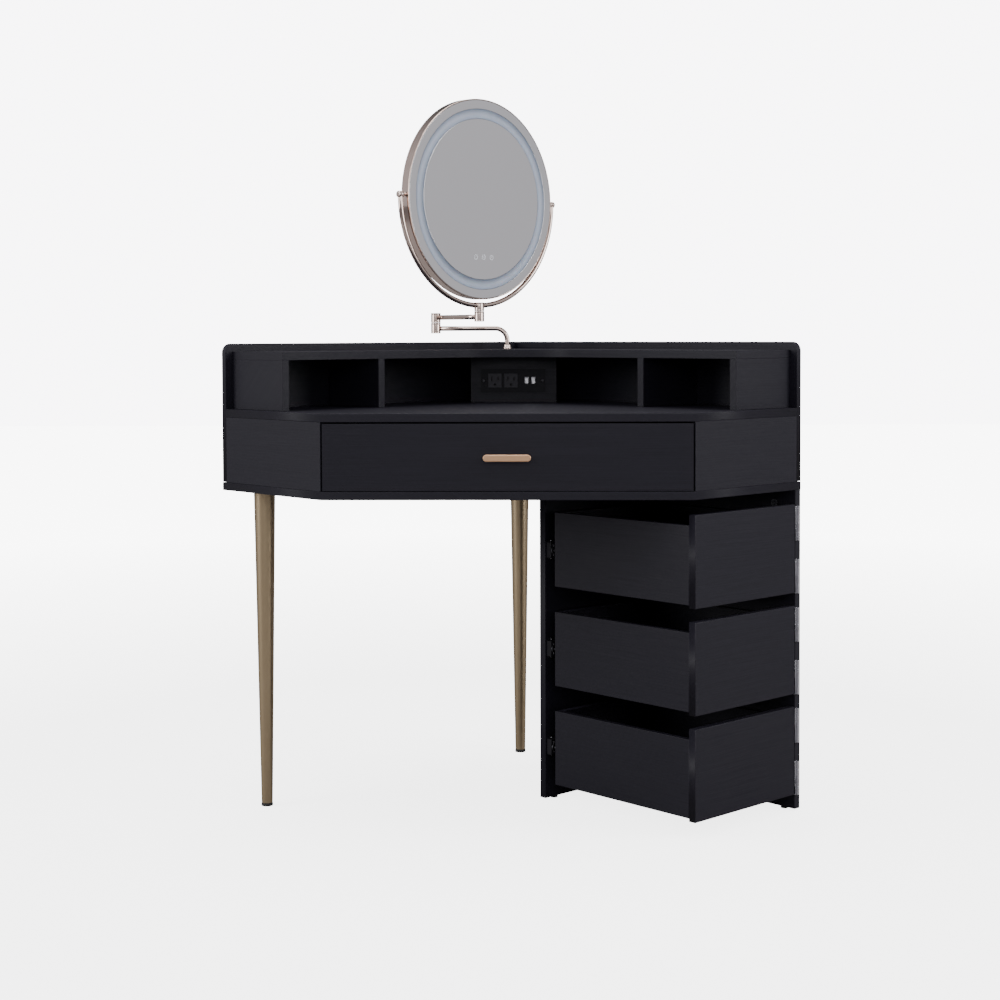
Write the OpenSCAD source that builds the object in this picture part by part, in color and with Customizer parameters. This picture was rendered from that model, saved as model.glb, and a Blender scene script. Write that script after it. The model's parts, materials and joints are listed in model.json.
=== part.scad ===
// Corner vanity table with a swing-arm mirror.
// The two walls of the corner meet on the rear vertical edge.  Most places are
// given as (p, q): p runs along the left wall and q along the right wall, both
// from that corner, so a board square to a wall is a plain box in (p, q, z).

/* [Desk] */
// Length of each back panel along its wall
wall_len = 760; // [630:1:920]
// Depth of each end panel, square to its wall
end_depth = 298; // [240:1:360]
// Height of the desktop's top face
desk_h = 750; // [660:5:900]
// Thickness of the structural boards
board_t = 15; // [12:1:18]
// Thickness of the two back panels
back_t = 12; // [9:1:15]
// Clear height between the bottom board and the desktop
case_h = 121.5; // [100:0.5:150]
// Slit under each back panel
back_slit = 1; // [0.5:0.5:3]
// Radius of the back panels' outer top corners
back_corner_r = 17; // [5:1:30]

/* [Hutch] */
// Height of the hutch top above the desktop
hutch_h = 107; // [90:1:140]
// Depth of the hutch from each wall
hutch_d = 168; // [140:1:190]
// Height of the back panels above the hutch top
lip_h = 15; // [5:1:40]
// Distance from the end of a back panel to the hutch's end
hutch_inset = 16; // [10:1:60]
// Place of a divider's middle along its wall
divider_at = 513; // [440:1:560]
// Radius of the inner curve on the hutch top's front edge
hutch_curve_r = 160; // [80:5:240]
// Width of the socket box in the corner
socket_w = 172.8; // [150:0.4:190]
// Distance of the socket box's front from the corner
socket_y = 247; // [225:1:260]

/* [Power module] */
// Width of the cover plate
plate_w = 130; // [124:1:156]
// Height of the cover plate
plate_h = 47; // [42:1:60]
// Thickness of the cover plate
plate_t = 3; // [2:0.5:4]
// Width of one outlet face
outlet_w = 27; // [26:0.5:30]
// Height of one outlet face
outlet_h = 28; // [26:0.5:32]

/* [Legs] */
// Diameter of a leg at the top
leg_top_d = 40; // [32:0.5:44]
// Diameter of a leg at the foot
leg_foot_d = 21; // [18:0.5:26]
// Height of the rubber foot under a leg
foot_h = 6; // [4:1:12]
// Distance of the left leg from its end panel's face
left_leg_inset = 64.5; // [40:0.1:80]
// Distance of the left leg from the left wall
left_leg_q = 42.4; // [30:0.1:90]
// Distance of the rear leg from the right wall
rear_leg_p = 51.6; // [35:0.1:80]
// Distance of the rear leg from the left wall
rear_leg_q = 62.9; // [35:0.1:80]

/* [Front drawer] */
// Gap at each end of the drawer front
front_end_gap = 3.2; // [2:0.1:5]
// Gap above the drawer front
front_top_gap = 2.8; // [1.5:0.1:5]
// Gap below the drawer front
front_low_gap = 1.2; // [1:0.1:4]
// Distance from the desk's front corner to the side of the drawer box
box_inset = 76.7; // [60:0.1:120]
// Height of the drawer box above the bottom board
box_lift = 12; // [4:1:20]
// Outside depth of the drawer box
box_d = 390; // [300:5:395]
// Height of the drawer box
box_h = 85; // [60:1:95]
// Thickness of the boards of every drawer box
side_t = 12; // [9:1:15]
// Thickness of every drawer's bottom
floor_t = 4; // [3:0.5:6]
// Room for the slide on each side of the box
slide_gap = 13; // [12.5:0.5:16]
// Length of the handle bar
handle_len = 83.5; // [60:0.5:160]
// Height of the handle bar
handle_h = 12.2; // [8:0.1:20]
// Distance from the drawer front to the outside of the handle
handle_reach = 26; // [20:1:40]
// Spacing of the handle's posts
handle_pitch = 64; // [32:1:96]

/* [Cabinet] */
// Distance of the cabinet's side panel from the left wall
cabinet_q = 368; // [300:1:450]
// Setback of the side panel's front edge behind the drawers' sides
cabinet_setback = 5.5; // [0:0.5:30]
// Height of the floor glides
glide_h = 4; // [3:1:8]

/* [Swing drawers] */
// Vertical gap between two drawer fronts
swing_space = 24; // [10:1:40]
// Gap between the top drawer front and the bottom board
swing_top_gap = 26.5; // [10:0.5:40]
// Height of the lowest drawer front's lower edge
swing_z = 32; // [20:1:60]
// Height of the side boards above the front's lower edge
swing_side_lift = 5; // [4:1:12]
// Distance of the side boards' top edge below the front's top edge
swing_side_drop = 19; // [5:1:40]
// Distance from a drawer's back to the cabinet's side panel
swing_rear_gap = 31; // [20:1:60]
// Gap between a front's hinge edge and the wall panel
swing_gap = 2; // [2:0.1:4]
// Diameter of a hinge barrel
knuckle_d = 5.6; // [5:0.1:7]
// Height of a whole hinge
hinge_h = 64; // [50:1:70]
// Thickness of a hinge leaf
leaf_t = 0.8; // [0.6:0.1:0.9]

/* [Mirror] */
// Diameter of the mirror's rim
mirror_d = 402; // [330:2:490]
// Thickness of the mirror's case
mirror_t = 21; // [18:1:28]
// Mirror's turn to the right
mirror_turn = 47; // [0:1:90]
// Distance of the light ring from the rim's outside
light_inset = 20; // [14:1:40]
// Width of the light ring
light_w = 20; // [6:1:40]
// Diameter of the arm and yoke tubes
tube_d = 10; // [8:0.5:12]
// Diameter of the swivels' barrels
barrel_d = 20; // [18:0.5:24]
// Distance from the mirror's rim to the yoke's middle line
yoke_gap = 12; // [10:0.5:25]
// Height of the lower link above the hutch top
arm_rise = 43; // [40:1:90]
// Height of the upper link above the lower one
link_step = 23; // [22:0.5:40]
// Height of the yoke's lowest point above the upper link
yoke_step = 23; // [22.5:0.5:40]
// Length of each of the arm's two links
link_len = 149; // [110:1:170]
// Direction of the lower link, anticlockwise from +X
lower_turn = 181.5; // [150:0.5:210]
// Direction of the upper link, anticlockwise from +X
upper_turn = -50; // [-80:1:-10]
// Distance of the arm's base from the corner, towards the front
arm_base_y = 120; // [90:1:140]
// Distance of the arm's base from the middle, to the left
arm_base_x = 16; // [0:1:60]

/* [Fits] */
// Radial clearance of a turning pin
pin_play = 0.05; // [0.03:0.01:0.09]
// Gap between pieces that slide or turn past each other
run_gap = 0.3; // [0.3:0.1:0.6]
// Radial clearance of a screw or a stud in its hole
screw_play = 0.2; // [0.1:0.05:0.4]

/* [Hidden] */
$fn = 64;
s = sqrt(1 / 2);

// Heights
desk_under = desk_h - board_t;
base_top = desk_under - case_h;
base_under = base_top - board_t;
hutch_top_z = desk_h + hutch_h;
hutch_under = hutch_top_z - board_t;
back_top = hutch_top_z + lip_h;

// Plan of the desk
front_y = -s * (wall_len + end_depth);
front_half = s * (wall_len - end_depth);
hutch_end = wall_len - hutch_inset;
curve_c = hutch_d + hutch_curve_r;
mitre = tan(22.5);

// Front drawer
face_z0 = base_top + front_low_gap;
face_z1 = desk_under - front_top_gap;
face_h = face_z1 - face_z0;
face_half = front_half - front_end_gap;
face_back = front_y + board_t;
box_w = 2 * (front_half - box_inset);
box_z = base_top + box_lift;
runner_x = box_w / 2 + slide_gap;
runner_y0 = face_back + 2;
runner_y1 = -(runner_x + board_t) - back_t / s - run_gap;
slide_z = box_z + box_h / 2;
channel_h = 36;
channel_w = slide_gap - 1.5;
channel_wall = 1.2;
rail_h = channel_h - 2 * channel_wall - 2 * run_gap - 1;
slide_len = box_d - 20;
slide_start = runner_y0 + 4;
bottom_lift = 6;
handle_z = (face_z0 + face_z1) / 2;
handle_t = 6;
post_d = 8;
handle_bolt_d = 4;
bolt_head_d = 8;
bolt_head_h = 2;
grip_depth = 8;

// Swing drawers and their hinges; the barrels stand off the wall panel's end
swing_h = (base_under - swing_top_gap - swing_z - 2 * swing_space) / 3;
swing_pitch = swing_h + swing_space;
swing_zs = [swing_z, swing_z + swing_pitch, swing_z + 2 * swing_pitch];
swing_side_h = swing_h - swing_side_lift - swing_side_drop;
swing_p0 = board_t + swing_gap;
swing_p1 = end_depth;
swing_q1 = wall_len;
swing_q0 = swing_q1 - board_t;
swing_rear = cabinet_q + board_t + swing_rear_gap;
hinge_setback = 5.3;
hinge_p = board_t - hinge_setback;
hinge_q = wall_len + knuckle_d / 2;
hinge_lifts = [-1, swing_h - hinge_h - 3];
hinge_pin_d = 3;
leaf_len = 24;
panel_h = base_under - glide_h;
cabinet_d = end_depth - cabinet_setback;
catch_setback = 22.5;
catch_p0 = cabinet_d - catch_setback;
catch_w = 19.4;
catch_t = 14;
catch_h = 38;
catch_lift = swing_h / 2 - 30;
catch_lip = 5;
strike_d = 14;
strike_t = 2;
strike_stud_d = 5;

// Legs
plate_size = 60;
leg_plate_t = 3;
stud_d = 8;
stud_len = 26;
left_leg = [wall_len - left_leg_inset, left_leg_q];
rear_leg = [rear_leg_p, rear_leg_q];
legs = [left_leg, rear_leg];
leg_len = base_under - leg_plate_t - foot_h;

// Power module
module_rise = 44.5;
module_z = desk_h + module_rise;
module_x = -1;
socket_front = -socket_y;
socket_back = socket_front + board_t;
module_body_w = plate_w - 20;
module_body_h = plate_h - 9;
module_body_d = 42;
outlet_xs = [-36.6, -4.3];
usb_xs = [27.5, 40.8];
usb_w = 8;
usb_h = 14;
plate_screw_x = plate_w / 2 - 5.4;
plate_screw_d = 3;
plate_screw_len = 12;
plate_screw_head = [6, 1.2];
outlet_depth = 8;
outlet_proud = 0.6;
slot_w = 2.2;
slot_x = 6.35;
slot_depth = 6;
earth_d = 5;
earth_drop = 8.2;
usb_depth = 10;
usb_wall = 0.7;
usb_tongue = 1.8;

// Cam locks: discs let into the inner face of a panel
cam_d = 15;
cam_depth = 12;
cam_z = base_under - 27;
cam_qs = [cabinet_q + board_t + 50, wall_len - 49.5];
cam_slot_l = 9;
cam_slot_w = 1.6;
cam_slot_depth = 1.5;

// Floor glides
glide_d = 14;
glide_places = [
    [40, cabinet_q + board_t / 2], [cabinet_d - 30, cabinet_q + board_t / 2],
    [board_t / 2, wall_len - 30]
];

// Mirror arm
arm_base = [-arm_base_x, -arm_base_y];
tube_r = tube_d / 2;
lower_z = hutch_top_z + arm_rise;
upper_z = lower_z + link_step;
yoke_low = upper_z + yoke_step;
elbow_z0 = lower_z - tube_r - 5;
elbow_z1 = lower_z + tube_r + 7;
elbow_z2 = upper_z + tube_r + 4.5;
head_z0 = upper_z - tube_r - 4.5;
head_z1 = upper_z + tube_r + 6.7;
head_z2 = yoke_low + tube_r + 1;
elbow = arm_base + link_len * [cos(lower_turn), sin(lower_turn)];
head = elbow + link_len * [cos(upper_turn), sin(upper_turn)];
bend_r = 25;
collar_d = tube_d + 9;
collar_h = 9;
tail_d = tube_d + 2;
base_hole_d = tail_d + 2 * screw_play;
swivel_pin_d = 8;
swivel_pin = 11;
swivel_bore = swivel_pin + 1;
knob_d = tube_d + 3;
knob_len = 13;
pivot_d = 6;
pivot_reach = 10;
boss_d = pivot_d + 3;
rim_t = 2.5;
ledge_w = 8;
ledge_t = 2;
glass_t = 4;
cover_t = 1;
case_r = mirror_d / 2;
glass_r = case_r - rim_t;
yoke_r = case_r + yoke_gap;
mirror_z = yoke_low + yoke_r;
light_out_r = case_r - light_inset;
light_in_r = light_out_r - light_w;
light_t = glass_t + 6;
led_w = 8;
led_t = 2;
driver = [70, 110, 7];
nut_d = 22;
nut_h = 6;
washer_d = 28;
washer_t = 1;

// The origin is under the middle of the object's plan
handle_front = front_y - handle_reach;
mid_y = handle_front / 2;

laminate = [0.13, 0.13, 0.15];
inside = [0.17, 0.17, 0.19];
bronze = [0.55, 0.49, 0.39];
rose = [0.72, 0.6, 0.48];
steel = [0.75, 0.75, 0.77];
nickel = [0.82, 0.78, 0.75];
dark = [0.06, 0.06, 0.07];

// Moves a shape from the corner's frame to the object's own origin
module set() {
    translate([0, -mid_y, 0]) children();
}

// Turns local (q, -p) axes onto the two walls
module walls() {
    set() rotate([0, 0, -45]) children();
}

// A box given by its ranges along p, q and z
module pq_box(p, q, z) {
    walls() translate([q[0], -p[1], z[0]])
        cube([q[1] - q[0], p[1] - p[0], z[1] - z[0]]);
}

// A board with an outline of (q, -p) points
module pq_board(points, z, h) {
    walls() translate([0, 0, z]) linear_extrude(h) polygon(points);
}

// Draws a shape made for the right wall, or its mirror image on the left wall
module on_side(left) {
    if (left) mirror([1, 0, 0]) children();
    else children();
}

// A cylinder at a (p, q) place
module pq_rod(p, q, z, d, h) {
    walls() translate([q, -p, z]) cylinder(d = d, h = h);
}

module bottom_board() {
    w = wall_len;
    e = end_depth;
    color(laminate)
        pq_board([[0, 0], [0, -w], [e, -w], [w, -e], [w, 0]], base_under, board_t);
}

module desktop() {
    w = wall_len;
    e = end_depth;
    b = back_t;
    color(laminate)
        pq_board([[b, -b], [b, -w], [e, -w], [w, -e], [w, -b]], desk_under, board_t);
}

// Outline of a back panel in (length, height), one top corner rounded
module back_outline(from) {
    r = back_corner_r;
    low = base_top + back_slit;
    translate([from, low]) square([wall_len - from - r, back_top - low]);
    translate([from, low]) square([wall_len - from, back_top - low - r]);
    translate([wall_len - r, back_top - r]) circle(r);
}

module back_panel_left() {
    color(laminate) walls() rotate([0, 0, -90]) rotate([90, 0, 0])
        mirror([0, 0, 1]) linear_extrude(back_t) back_outline(0);
}

module back_panel_right() {
    color(laminate) walls() rotate([90, 0, 0])
        linear_extrude(back_t) back_outline(back_t);
}

// End panel on the right wall; its front edge is mitred to the drawer front
module end_panel() {
    w = wall_len;
    e = end_depth;
    b = board_t;
    pq_board([[w, -back_t], [w, -e], [w - b, -e + b * mitre], [w - b, -back_t]],
             base_top, case_h);
}

module end_panel_left() {
    color(laminate) on_side(true) end_panel();
}

module end_panel_right() {
    color(laminate) on_side(false) end_panel();
}

module runner_panels() {
    color(inside) for (side = [-1, 1])
        set() translate([side * (runner_x + board_t / 2) - board_t / 2, runner_y0, base_top])
            cube([board_t, runner_y1 - runner_y0, case_h]);
}

module hutch_top() {
    d = hutch_d;
    e = hutch_end;
    b = back_t;
    c = curve_c;
    color(laminate) difference() {
        pq_board([[b, -b], [b, -e], [d, -e], [d, -c], [c, -c], [c, -d], [e, -d], [e, -b]],
                 hutch_under, board_t);
        pq_rod(c, c, hutch_under - 1, 2 * hutch_curve_r, board_t + 2);
        set() translate([arm_base[0], arm_base[1], hutch_under - 1])
            cylinder(d = base_hole_d, h = board_t + 2);
    }
}

module hutch_board(at) {
    pq_box([back_t, hutch_d], [at - board_t, at], [desk_h, hutch_under]);
}

module hutch_ends() {
    color(laminate) for (left = [true, false]) on_side(left) hutch_board(hutch_end);
}

module hutch_dividers() {
    color(laminate) for (left = [true, false])
        on_side(left) hutch_board(divider_at + board_t / 2);
}

module socket_panel() {
    color(laminate) set() difference() {
        translate([-socket_w / 2, socket_front, desk_h])
            cube([socket_w, board_t, hutch_under - desk_h]);
        translate([module_x - module_body_w / 2, socket_front - 1, module_z - module_body_h / 2])
            cube([module_body_w, board_t + 2, module_body_h]);
        for (side = [-1, 1])
            translate([module_x + side * plate_screw_x, socket_front - 1, module_z])
                rotate([-90, 0, 0]) cylinder(d = plate_screw_d, h = plate_screw_len + 1);
    }
}

module socket_box_sides() {
    x1 = socket_w / 2;
    x0 = x1 - board_t;
    reach = back_t / s;
    color(inside) set() for (left = [true, false]) on_side(left)
        translate([0, 0, desk_h]) linear_extrude(hutch_under - desk_h)
            polygon([[x0, socket_back], [x1, socket_back], [x1, -x1 - reach], [x0, -x0 - reach]]);
}

// Places a shape on the power module's face: x right, y up, z out of the panel
module on_module() {
    set() translate([module_x, socket_front, module_z]) rotate([90, 0, 0]) children();
}

module power_module() {
    color(dark) on_module() difference() {
        union() {
            translate([-plate_w / 2, -plate_h / 2, 0]) cube([plate_w, plate_h, plate_t]);
            translate([-module_body_w / 2, -module_body_h / 2, -module_body_d])
                cube([module_body_w, module_body_h, module_body_d]);
        }
        for (x = outlet_xs) translate([x - outlet_w / 2, -outlet_h / 2, -outlet_depth])
            cube([outlet_w, outlet_h, outlet_depth + plate_t + 1]);
        for (x = usb_xs) translate([x - usb_w / 2, -usb_h / 2, -usb_depth])
            cube([usb_w, usb_h, usb_depth + plate_t + 1]);
        for (side = [-1, 1]) translate([side * plate_screw_x, 0, -1])
            cylinder(d = plate_screw_d + 2 * screw_play, h = plate_t + 2);
    }
}

// One outlet face with its two blade slots and round earth hole
module outlet_face() {
    top = plate_t + outlet_proud;
    cut = top + slot_depth + 1;
    difference() {
        translate([-outlet_w / 2, -outlet_h / 2, -outlet_depth])
            cube([outlet_w, outlet_h, top + outlet_depth]);
        translate([-slot_x - slot_w / 2, -1, -slot_depth]) cube([slot_w, 8.4, cut]);
        translate([slot_x - slot_w / 2, -0.4, -slot_depth]) cube([slot_w, 7.2, cut]);
        translate([0, -earth_drop, -slot_depth]) cylinder(d = earth_d, h = cut);
    }
}

module power_outlets() {
    color(dark) on_module() for (x = outlet_xs) translate([x, 0, 0]) outlet_face();
}

module usb_port() {
    wall = usb_wall;
    depth = usb_depth + plate_t;
    difference() {
        translate([-usb_w / 2, -usb_h / 2, -usb_depth]) cube([usb_w, usb_h, depth]);
        translate([-usb_w / 2 + wall, -usb_h / 2 + wall, 1 - usb_depth])
            cube([usb_w - 2 * wall, usb_h - 2 * wall, depth]);
    }
    translate([-usb_w / 2 + wall, -usb_h / 2 + wall, 1 - usb_depth])
        cube([usb_tongue, usb_h - 2 * wall, depth - 2]);
}

module usb_ports() {
    color(steel) on_module() for (x = usb_xs) translate([x, 0, 0]) usb_port();
}

module socket_screws() {
    color(dark) on_module() for (side = [-1, 1]) translate([side * plate_screw_x, 0, 0]) {
        translate([0, 0, -plate_screw_len])
            cylinder(d = plate_screw_d, h = plate_t + plate_screw_len);
        difference() {
            translate([0, 0, plate_t])
                cylinder(d = plate_screw_head[0], h = plate_screw_head[1]);
            translate([-2, -0.4, plate_t + plate_screw_head[1] / 2]) cube([4, 0.8, 1]);
        }
    }
}

// A tapered leg with a bore for its plate's stud
module leg(place) {
    walls() translate([place[1], -place[0], foot_h]) difference() {
        cylinder(d1 = leg_foot_d, d2 = leg_top_d, h = leg_len, $fn = 96);
        translate([0, 0, leg_len - stud_len - 1])
            cylinder(d = stud_d + 2 * screw_play, h = stud_len + 2);
    }
}

module leg_left() {
    color(bronze) leg(left_leg);
}

module leg_rear() {
    color(bronze) leg(rear_leg);
}

module leg_plates() {
    z = base_under - leg_plate_t;
    color(dark) for (place = legs) {
        pq_box([place[0] - plate_size / 2, place[0] + plate_size / 2],
               [place[1] - plate_size / 2, place[1] + plate_size / 2],
               [z, base_under]);
        pq_rod(place[0], place[1], z - stud_len, stud_d, stud_len + 1);
    }
}

module leg_feet() {
    color(dark) for (place = legs) pq_rod(place[0], place[1], 0, leg_foot_d + 1, foot_h);
}

module cam_hole(q, d) {
    walls() translate([q, -board_t - 1, cam_z]) rotate([-90, 0, 0]) cylinder(d = d, h = cam_depth + 1);
}

module cabinet_wall_panel() {
    color(laminate) difference() {
        pq_box([0, board_t], [cabinet_q + board_t, wall_len - 0.5], [glide_h, base_under]);
        for (q = cam_qs) cam_hole(q, cam_d);
    }
}

module cabinet_side_panel() {
    color(laminate)
        pq_box([0, cabinet_d], [cabinet_q, cabinet_q + board_t], [glide_h, base_under]);
}

module cam_locks() {
    color(steel) for (q = cam_qs) walls() translate([q, -board_t, cam_z]) rotate([-90, 0, 0])
        difference() {
            cylinder(d = cam_d, h = cam_depth);
            for (turn = [0, 90]) rotate([0, 0, turn])
                translate([-cam_slot_l / 2, -cam_slot_w / 2, -1])
                    cube([cam_slot_l, cam_slot_w, cam_slot_depth + 1]);
        }
}

module floor_glides() {
    color(dark) for (place = glide_places) pq_rod(place[0], place[1], 0, glide_d, glide_h);
}

// Moves to a hinge's foot, for each swing drawer and each of its two hinges
module at_hinges(zs) {
    for (z = zs, lift = hinge_lifts) walls() translate([hinge_q, -hinge_p, z + lift]) children();
}

// A leaf that runs from its knuckle over the wall panel's end and into the gap.
// far is where the leaf's outer face lies, measured along p from the pin.
module leaf(far, off) {
    translate([-knuckle_d / 2 + off, -far, 0]) cube([leaf_t, far, hinge_h / 2 - run_gap]);
    translate([-leaf_len, -far, 0])
        cube([leaf_len - knuckle_d / 2 + off + leaf_t, leaf_t, hinge_h / 2 - run_gap]);
}

// Half a hinge: a leaf with its rolled knuckle, bored for the pin
module half_hinge(far, off, bore) {
    difference() {
        union() {
            leaf(far, off);
            cylinder(d = knuckle_d, h = hinge_h / 2 - run_gap);
        }
        translate([0, 0, -1]) cylinder(d = bore, h = hinge_h);
    }
}

module hinge_frames() {
    color(steel) at_hinges(swing_zs)
        half_hinge(board_t - hinge_p + leaf_t, 0, hinge_pin_d);
}

module hinge_pins() {
    color(steel) at_hinges(swing_zs) cylinder(d = hinge_pin_d, h = hinge_h - 1);
}

module magnetic_catches() {
    q = cabinet_q + board_t;
    color(inside) for (z = swing_zs) difference() {
        pq_box([catch_p0, catch_p0 + catch_w], [q, q + catch_t],
               [z + catch_lift, z + catch_lift + catch_h]);
        pq_box([catch_p0 + catch_lip, catch_p0 + catch_w - catch_lip],
               [q + catch_t - 1.5, q + catch_t + 1],
               [z + catch_lift + catch_lip, z + catch_lift + catch_h - catch_lip]);
    }
}

module runner_channels() {
    color(steel) set() for (side = [0, 1]) mirror([side, 0, 0])
        translate([runner_x - channel_w, slide_start, slide_z - channel_h / 2]) difference() {
            cube([channel_w, slide_len, channel_h]);
            translate([-1, -1, channel_wall])
                cube([channel_w - channel_wall + 1, slide_len + 2, channel_h - 2 * channel_wall]);
        }
}

// ---- the front drawer -------------------------------------------------------

module drawer_front() {
    back_half = face_half - board_t * mitre;
    color(laminate) set() difference() {
        translate([0, 0, face_z0]) linear_extrude(face_h)
            polygon([[-face_half, front_y], [face_half, front_y],
                     [back_half, face_back], [-back_half, face_back]]);
        for (side = [-1, 1]) translate([side * handle_pitch / 2, front_y - 1, handle_z])
            rotate([-90, 0, 0]) cylinder(d = handle_bolt_d + 2 * screw_play, h = board_t + 2);
    }
}

module drawer_sides() {
    color(inside) set() for (side = [0, 1]) mirror([side, 0, 0])
        translate([box_w / 2 - side_t, face_back, box_z]) cube([side_t, box_d, box_h]);
}

module drawer_back() {
    color(inside) set() translate([-box_w / 2 + side_t, face_back + box_d - side_t, box_z])
        cube([box_w - 2 * side_t, side_t, box_h]);
}

module drawer_bottom() {
    color(inside) set() translate([-box_w / 2 + side_t, face_back, box_z + bottom_lift])
        cube([box_w - 2 * side_t, box_d - side_t, floor_t]);
}

module drawer_rails() {
    wide = slide_gap - channel_wall - 1.5 - run_gap - 1;
    color(steel) set() for (side = [0, 1]) mirror([side, 0, 0])
        translate([box_w / 2, slide_start, slide_z - rail_h / 2])
            cube([wide, slide_len, rail_h]);
}

module drawer_handle() {
    bar = handle_len - handle_h;
    color(rose) set() translate([0, handle_front, handle_z]) rotate([-90, 0, 0]) difference() {
        union() {
            linear_extrude(handle_t) {
                square([bar, handle_h], center = true);
                for (side = [-1, 1]) translate([side * bar / 2, 0]) circle(d = handle_h);
            }
            for (side = [-1, 1]) translate([side * handle_pitch / 2, 0, handle_t - 1])
                cylinder(d = post_d, h = handle_reach - handle_t + 1);
        }
        for (side = [-1, 1]) translate([side * handle_pitch / 2, 0, handle_t + 4])
            cylinder(d = handle_bolt_d, h = handle_reach);
    }
}

module drawer_handle_screws() {
    color(steel) set() for (side = [-1, 1])
        translate([side * handle_pitch / 2, front_y - grip_depth, handle_z])
            rotate([-90, 0, 0]) {
                cylinder(d = handle_bolt_d, h = board_t + grip_depth);
                translate([0, 0, board_t + grip_depth]) cylinder(d = bolt_head_d, h = bolt_head_h);
            }
}

// ---- the three swing drawers --------------------------------------------------

module swing_front(z) {
    color(laminate) pq_box([swing_p0, swing_p1], [swing_q0, swing_q1], [z, z + swing_h]);
}

module swing_sides(z) {
    z0 = z + swing_side_lift;
    for (p = [swing_p0, swing_p1 - side_t])
        color(laminate) pq_box([p, p + side_t], [swing_rear, swing_q0], [z0, z0 + swing_side_h]);
}

module swing_back(z) {
    z0 = z + swing_side_lift;
    color(laminate) pq_box([swing_p0 + side_t, swing_p1 - side_t],
                           [swing_rear, swing_rear + side_t], [z0, z0 + swing_side_h]);
}

module swing_bottom(z) {
    z0 = z + swing_side_lift + bottom_lift;
    color(inside) pq_box([swing_p0 + side_t, swing_p1 - side_t],
                         [swing_rear + side_t, swing_q0], [z0, z0 + floor_t]);
}

// The moving hinge halves, and the strike for the magnet on its stud
module swing_fittings(z) {
    strike_q = cabinet_q + board_t + catch_t + run_gap;
    strike_z = z + catch_lift + catch_h / 2;
    strike_p = catch_p0 + catch_w / 2 + 4;
    color(steel) {
        at_hinges([z]) translate([0, 0, hinge_h / 2])
            half_hinge(swing_p0 - hinge_p, run_gap, hinge_pin_d + 2 * pin_play);
        walls() translate([strike_q, -strike_p, strike_z]) rotate([0, 90, 0]) {
            cylinder(d = strike_d, h = strike_t);
            cylinder(d = strike_stud_d, h = swing_rear - strike_q);
        }
    }
}

// ---- the mirror and its arm ------------------------------------------------------

module at_base() {
    set() translate([arm_base[0], arm_base[1], 0]) children();
}

// Local +X along the lower link
module at_lower() {
    at_base() rotate([0, 0, lower_turn]) children();
}

module at_elbow() {
    set() translate([elbow[0], elbow[1], 0]) rotate([0, 0, upper_turn]) children();
}

// Local X along the mirror's width, local -Y out of its face, z from its centre
module at_mirror() {
    set() translate([head[0], head[1], mirror_z]) rotate([0, 0, mirror_turn]) children();
}

module mirror_base_collar() {
    bore = tube_d + 2 * pin_play;
    color(nickel) at_base() difference() {
        union() {
            translate([0, 0, hutch_top_z]) cylinder(d = collar_d, h = collar_h);
            translate([0, 0, hutch_under - nut_h - washer_t - 2])
                cylinder(d = tail_d, h = nut_h + washer_t + board_t + 3);
        }
        translate([0, 0, hutch_top_z]) cylinder(d = bore, h = collar_h + 1);
    }
}

module mirror_base_nut() {
    color(steel) at_base() translate([0, 0, hutch_under - nut_h - washer_t]) difference() {
        union() {
            cylinder(d = nut_d, h = nut_h, $fn = 6);
            translate([0, 0, nut_h]) cylinder(d = washer_d, h = washer_t);
        }
        translate([0, 0, -1]) cylinder(d = tail_d, h = nut_h + washer_t + 2);
    }
}

// The lower link: a riser, a bend, a straight tube and the elbow's lower barrel
module mirror_lower_arm() {
    foot = hutch_top_z + run_gap;
    color(nickel) at_lower() {
        translate([0, 0, foot]) cylinder(d = tube_d, h = lower_z - bend_r - foot);
        translate([bend_r, 0, lower_z - bend_r]) rotate([90, 0, 0]) rotate([0, 0, 90])
            rotate_extrude(angle = 90) translate([bend_r, 0]) circle(d = tube_d);
        translate([bend_r, 0, lower_z]) rotate([0, 90, 0])
            cylinder(d = tube_d, h = link_len - bend_r);
        translate([link_len, 0, elbow_z0]) cylinder(d = barrel_d, h = elbow_z1 - elbow_z0);
        translate([link_len, 0, elbow_z1 - 1]) cylinder(d = swivel_pin_d, h = swivel_pin + 1);
    }
}

module mirror_upper_arm() {
    low = elbow_z1 + run_gap;
    color(nickel) at_elbow() {
        difference() {
            union() {
                translate([0, 0, low]) cylinder(d = barrel_d, h = elbow_z2 - low);
                translate([0, 0, upper_z]) rotate([0, 90, 0]) cylinder(d = tube_d, h = link_len);
                translate([link_len, 0, head_z0]) cylinder(d = barrel_d, h = head_z1 - head_z0);
            }
            translate([0, 0, low - 1])
                cylinder(d = swivel_pin_d + 2 * pin_play, h = swivel_bore + 1);
        }
        translate([link_len, 0, head_z1 - 1]) cylinder(d = swivel_pin_d, h = swivel_pin + 1);
    }
}

// The yoke: a half ring on the head's upper barrel, with a pivot at each end
module mirror_yoke() {
    low = head_z1 + run_gap;
    pin_in = case_r - pivot_reach;
    color(nickel) at_mirror() difference() {
        union() {
            rotate([90, 0, 0]) rotate([0, 0, 180]) rotate_extrude(angle = 180)
                translate([yoke_r, 0]) circle(d = tube_d);
            for (side = [0, 1]) mirror([side, 0, 0]) rotate([0, 90, 0]) {
                translate([0, 0, yoke_r - knob_len / 2]) cylinder(d = knob_d, h = knob_len);
                translate([0, 0, pin_in]) cylinder(d = pivot_d, h = yoke_r - pin_in);
            }
            translate([0, 0, low - mirror_z]) cylinder(d = barrel_d, h = head_z2 - low);
        }
        translate([0, 0, low - mirror_z - 1])
            cylinder(d = swivel_pin_d + 2 * pin_play, h = swivel_bore + 1);
    }
}

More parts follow.
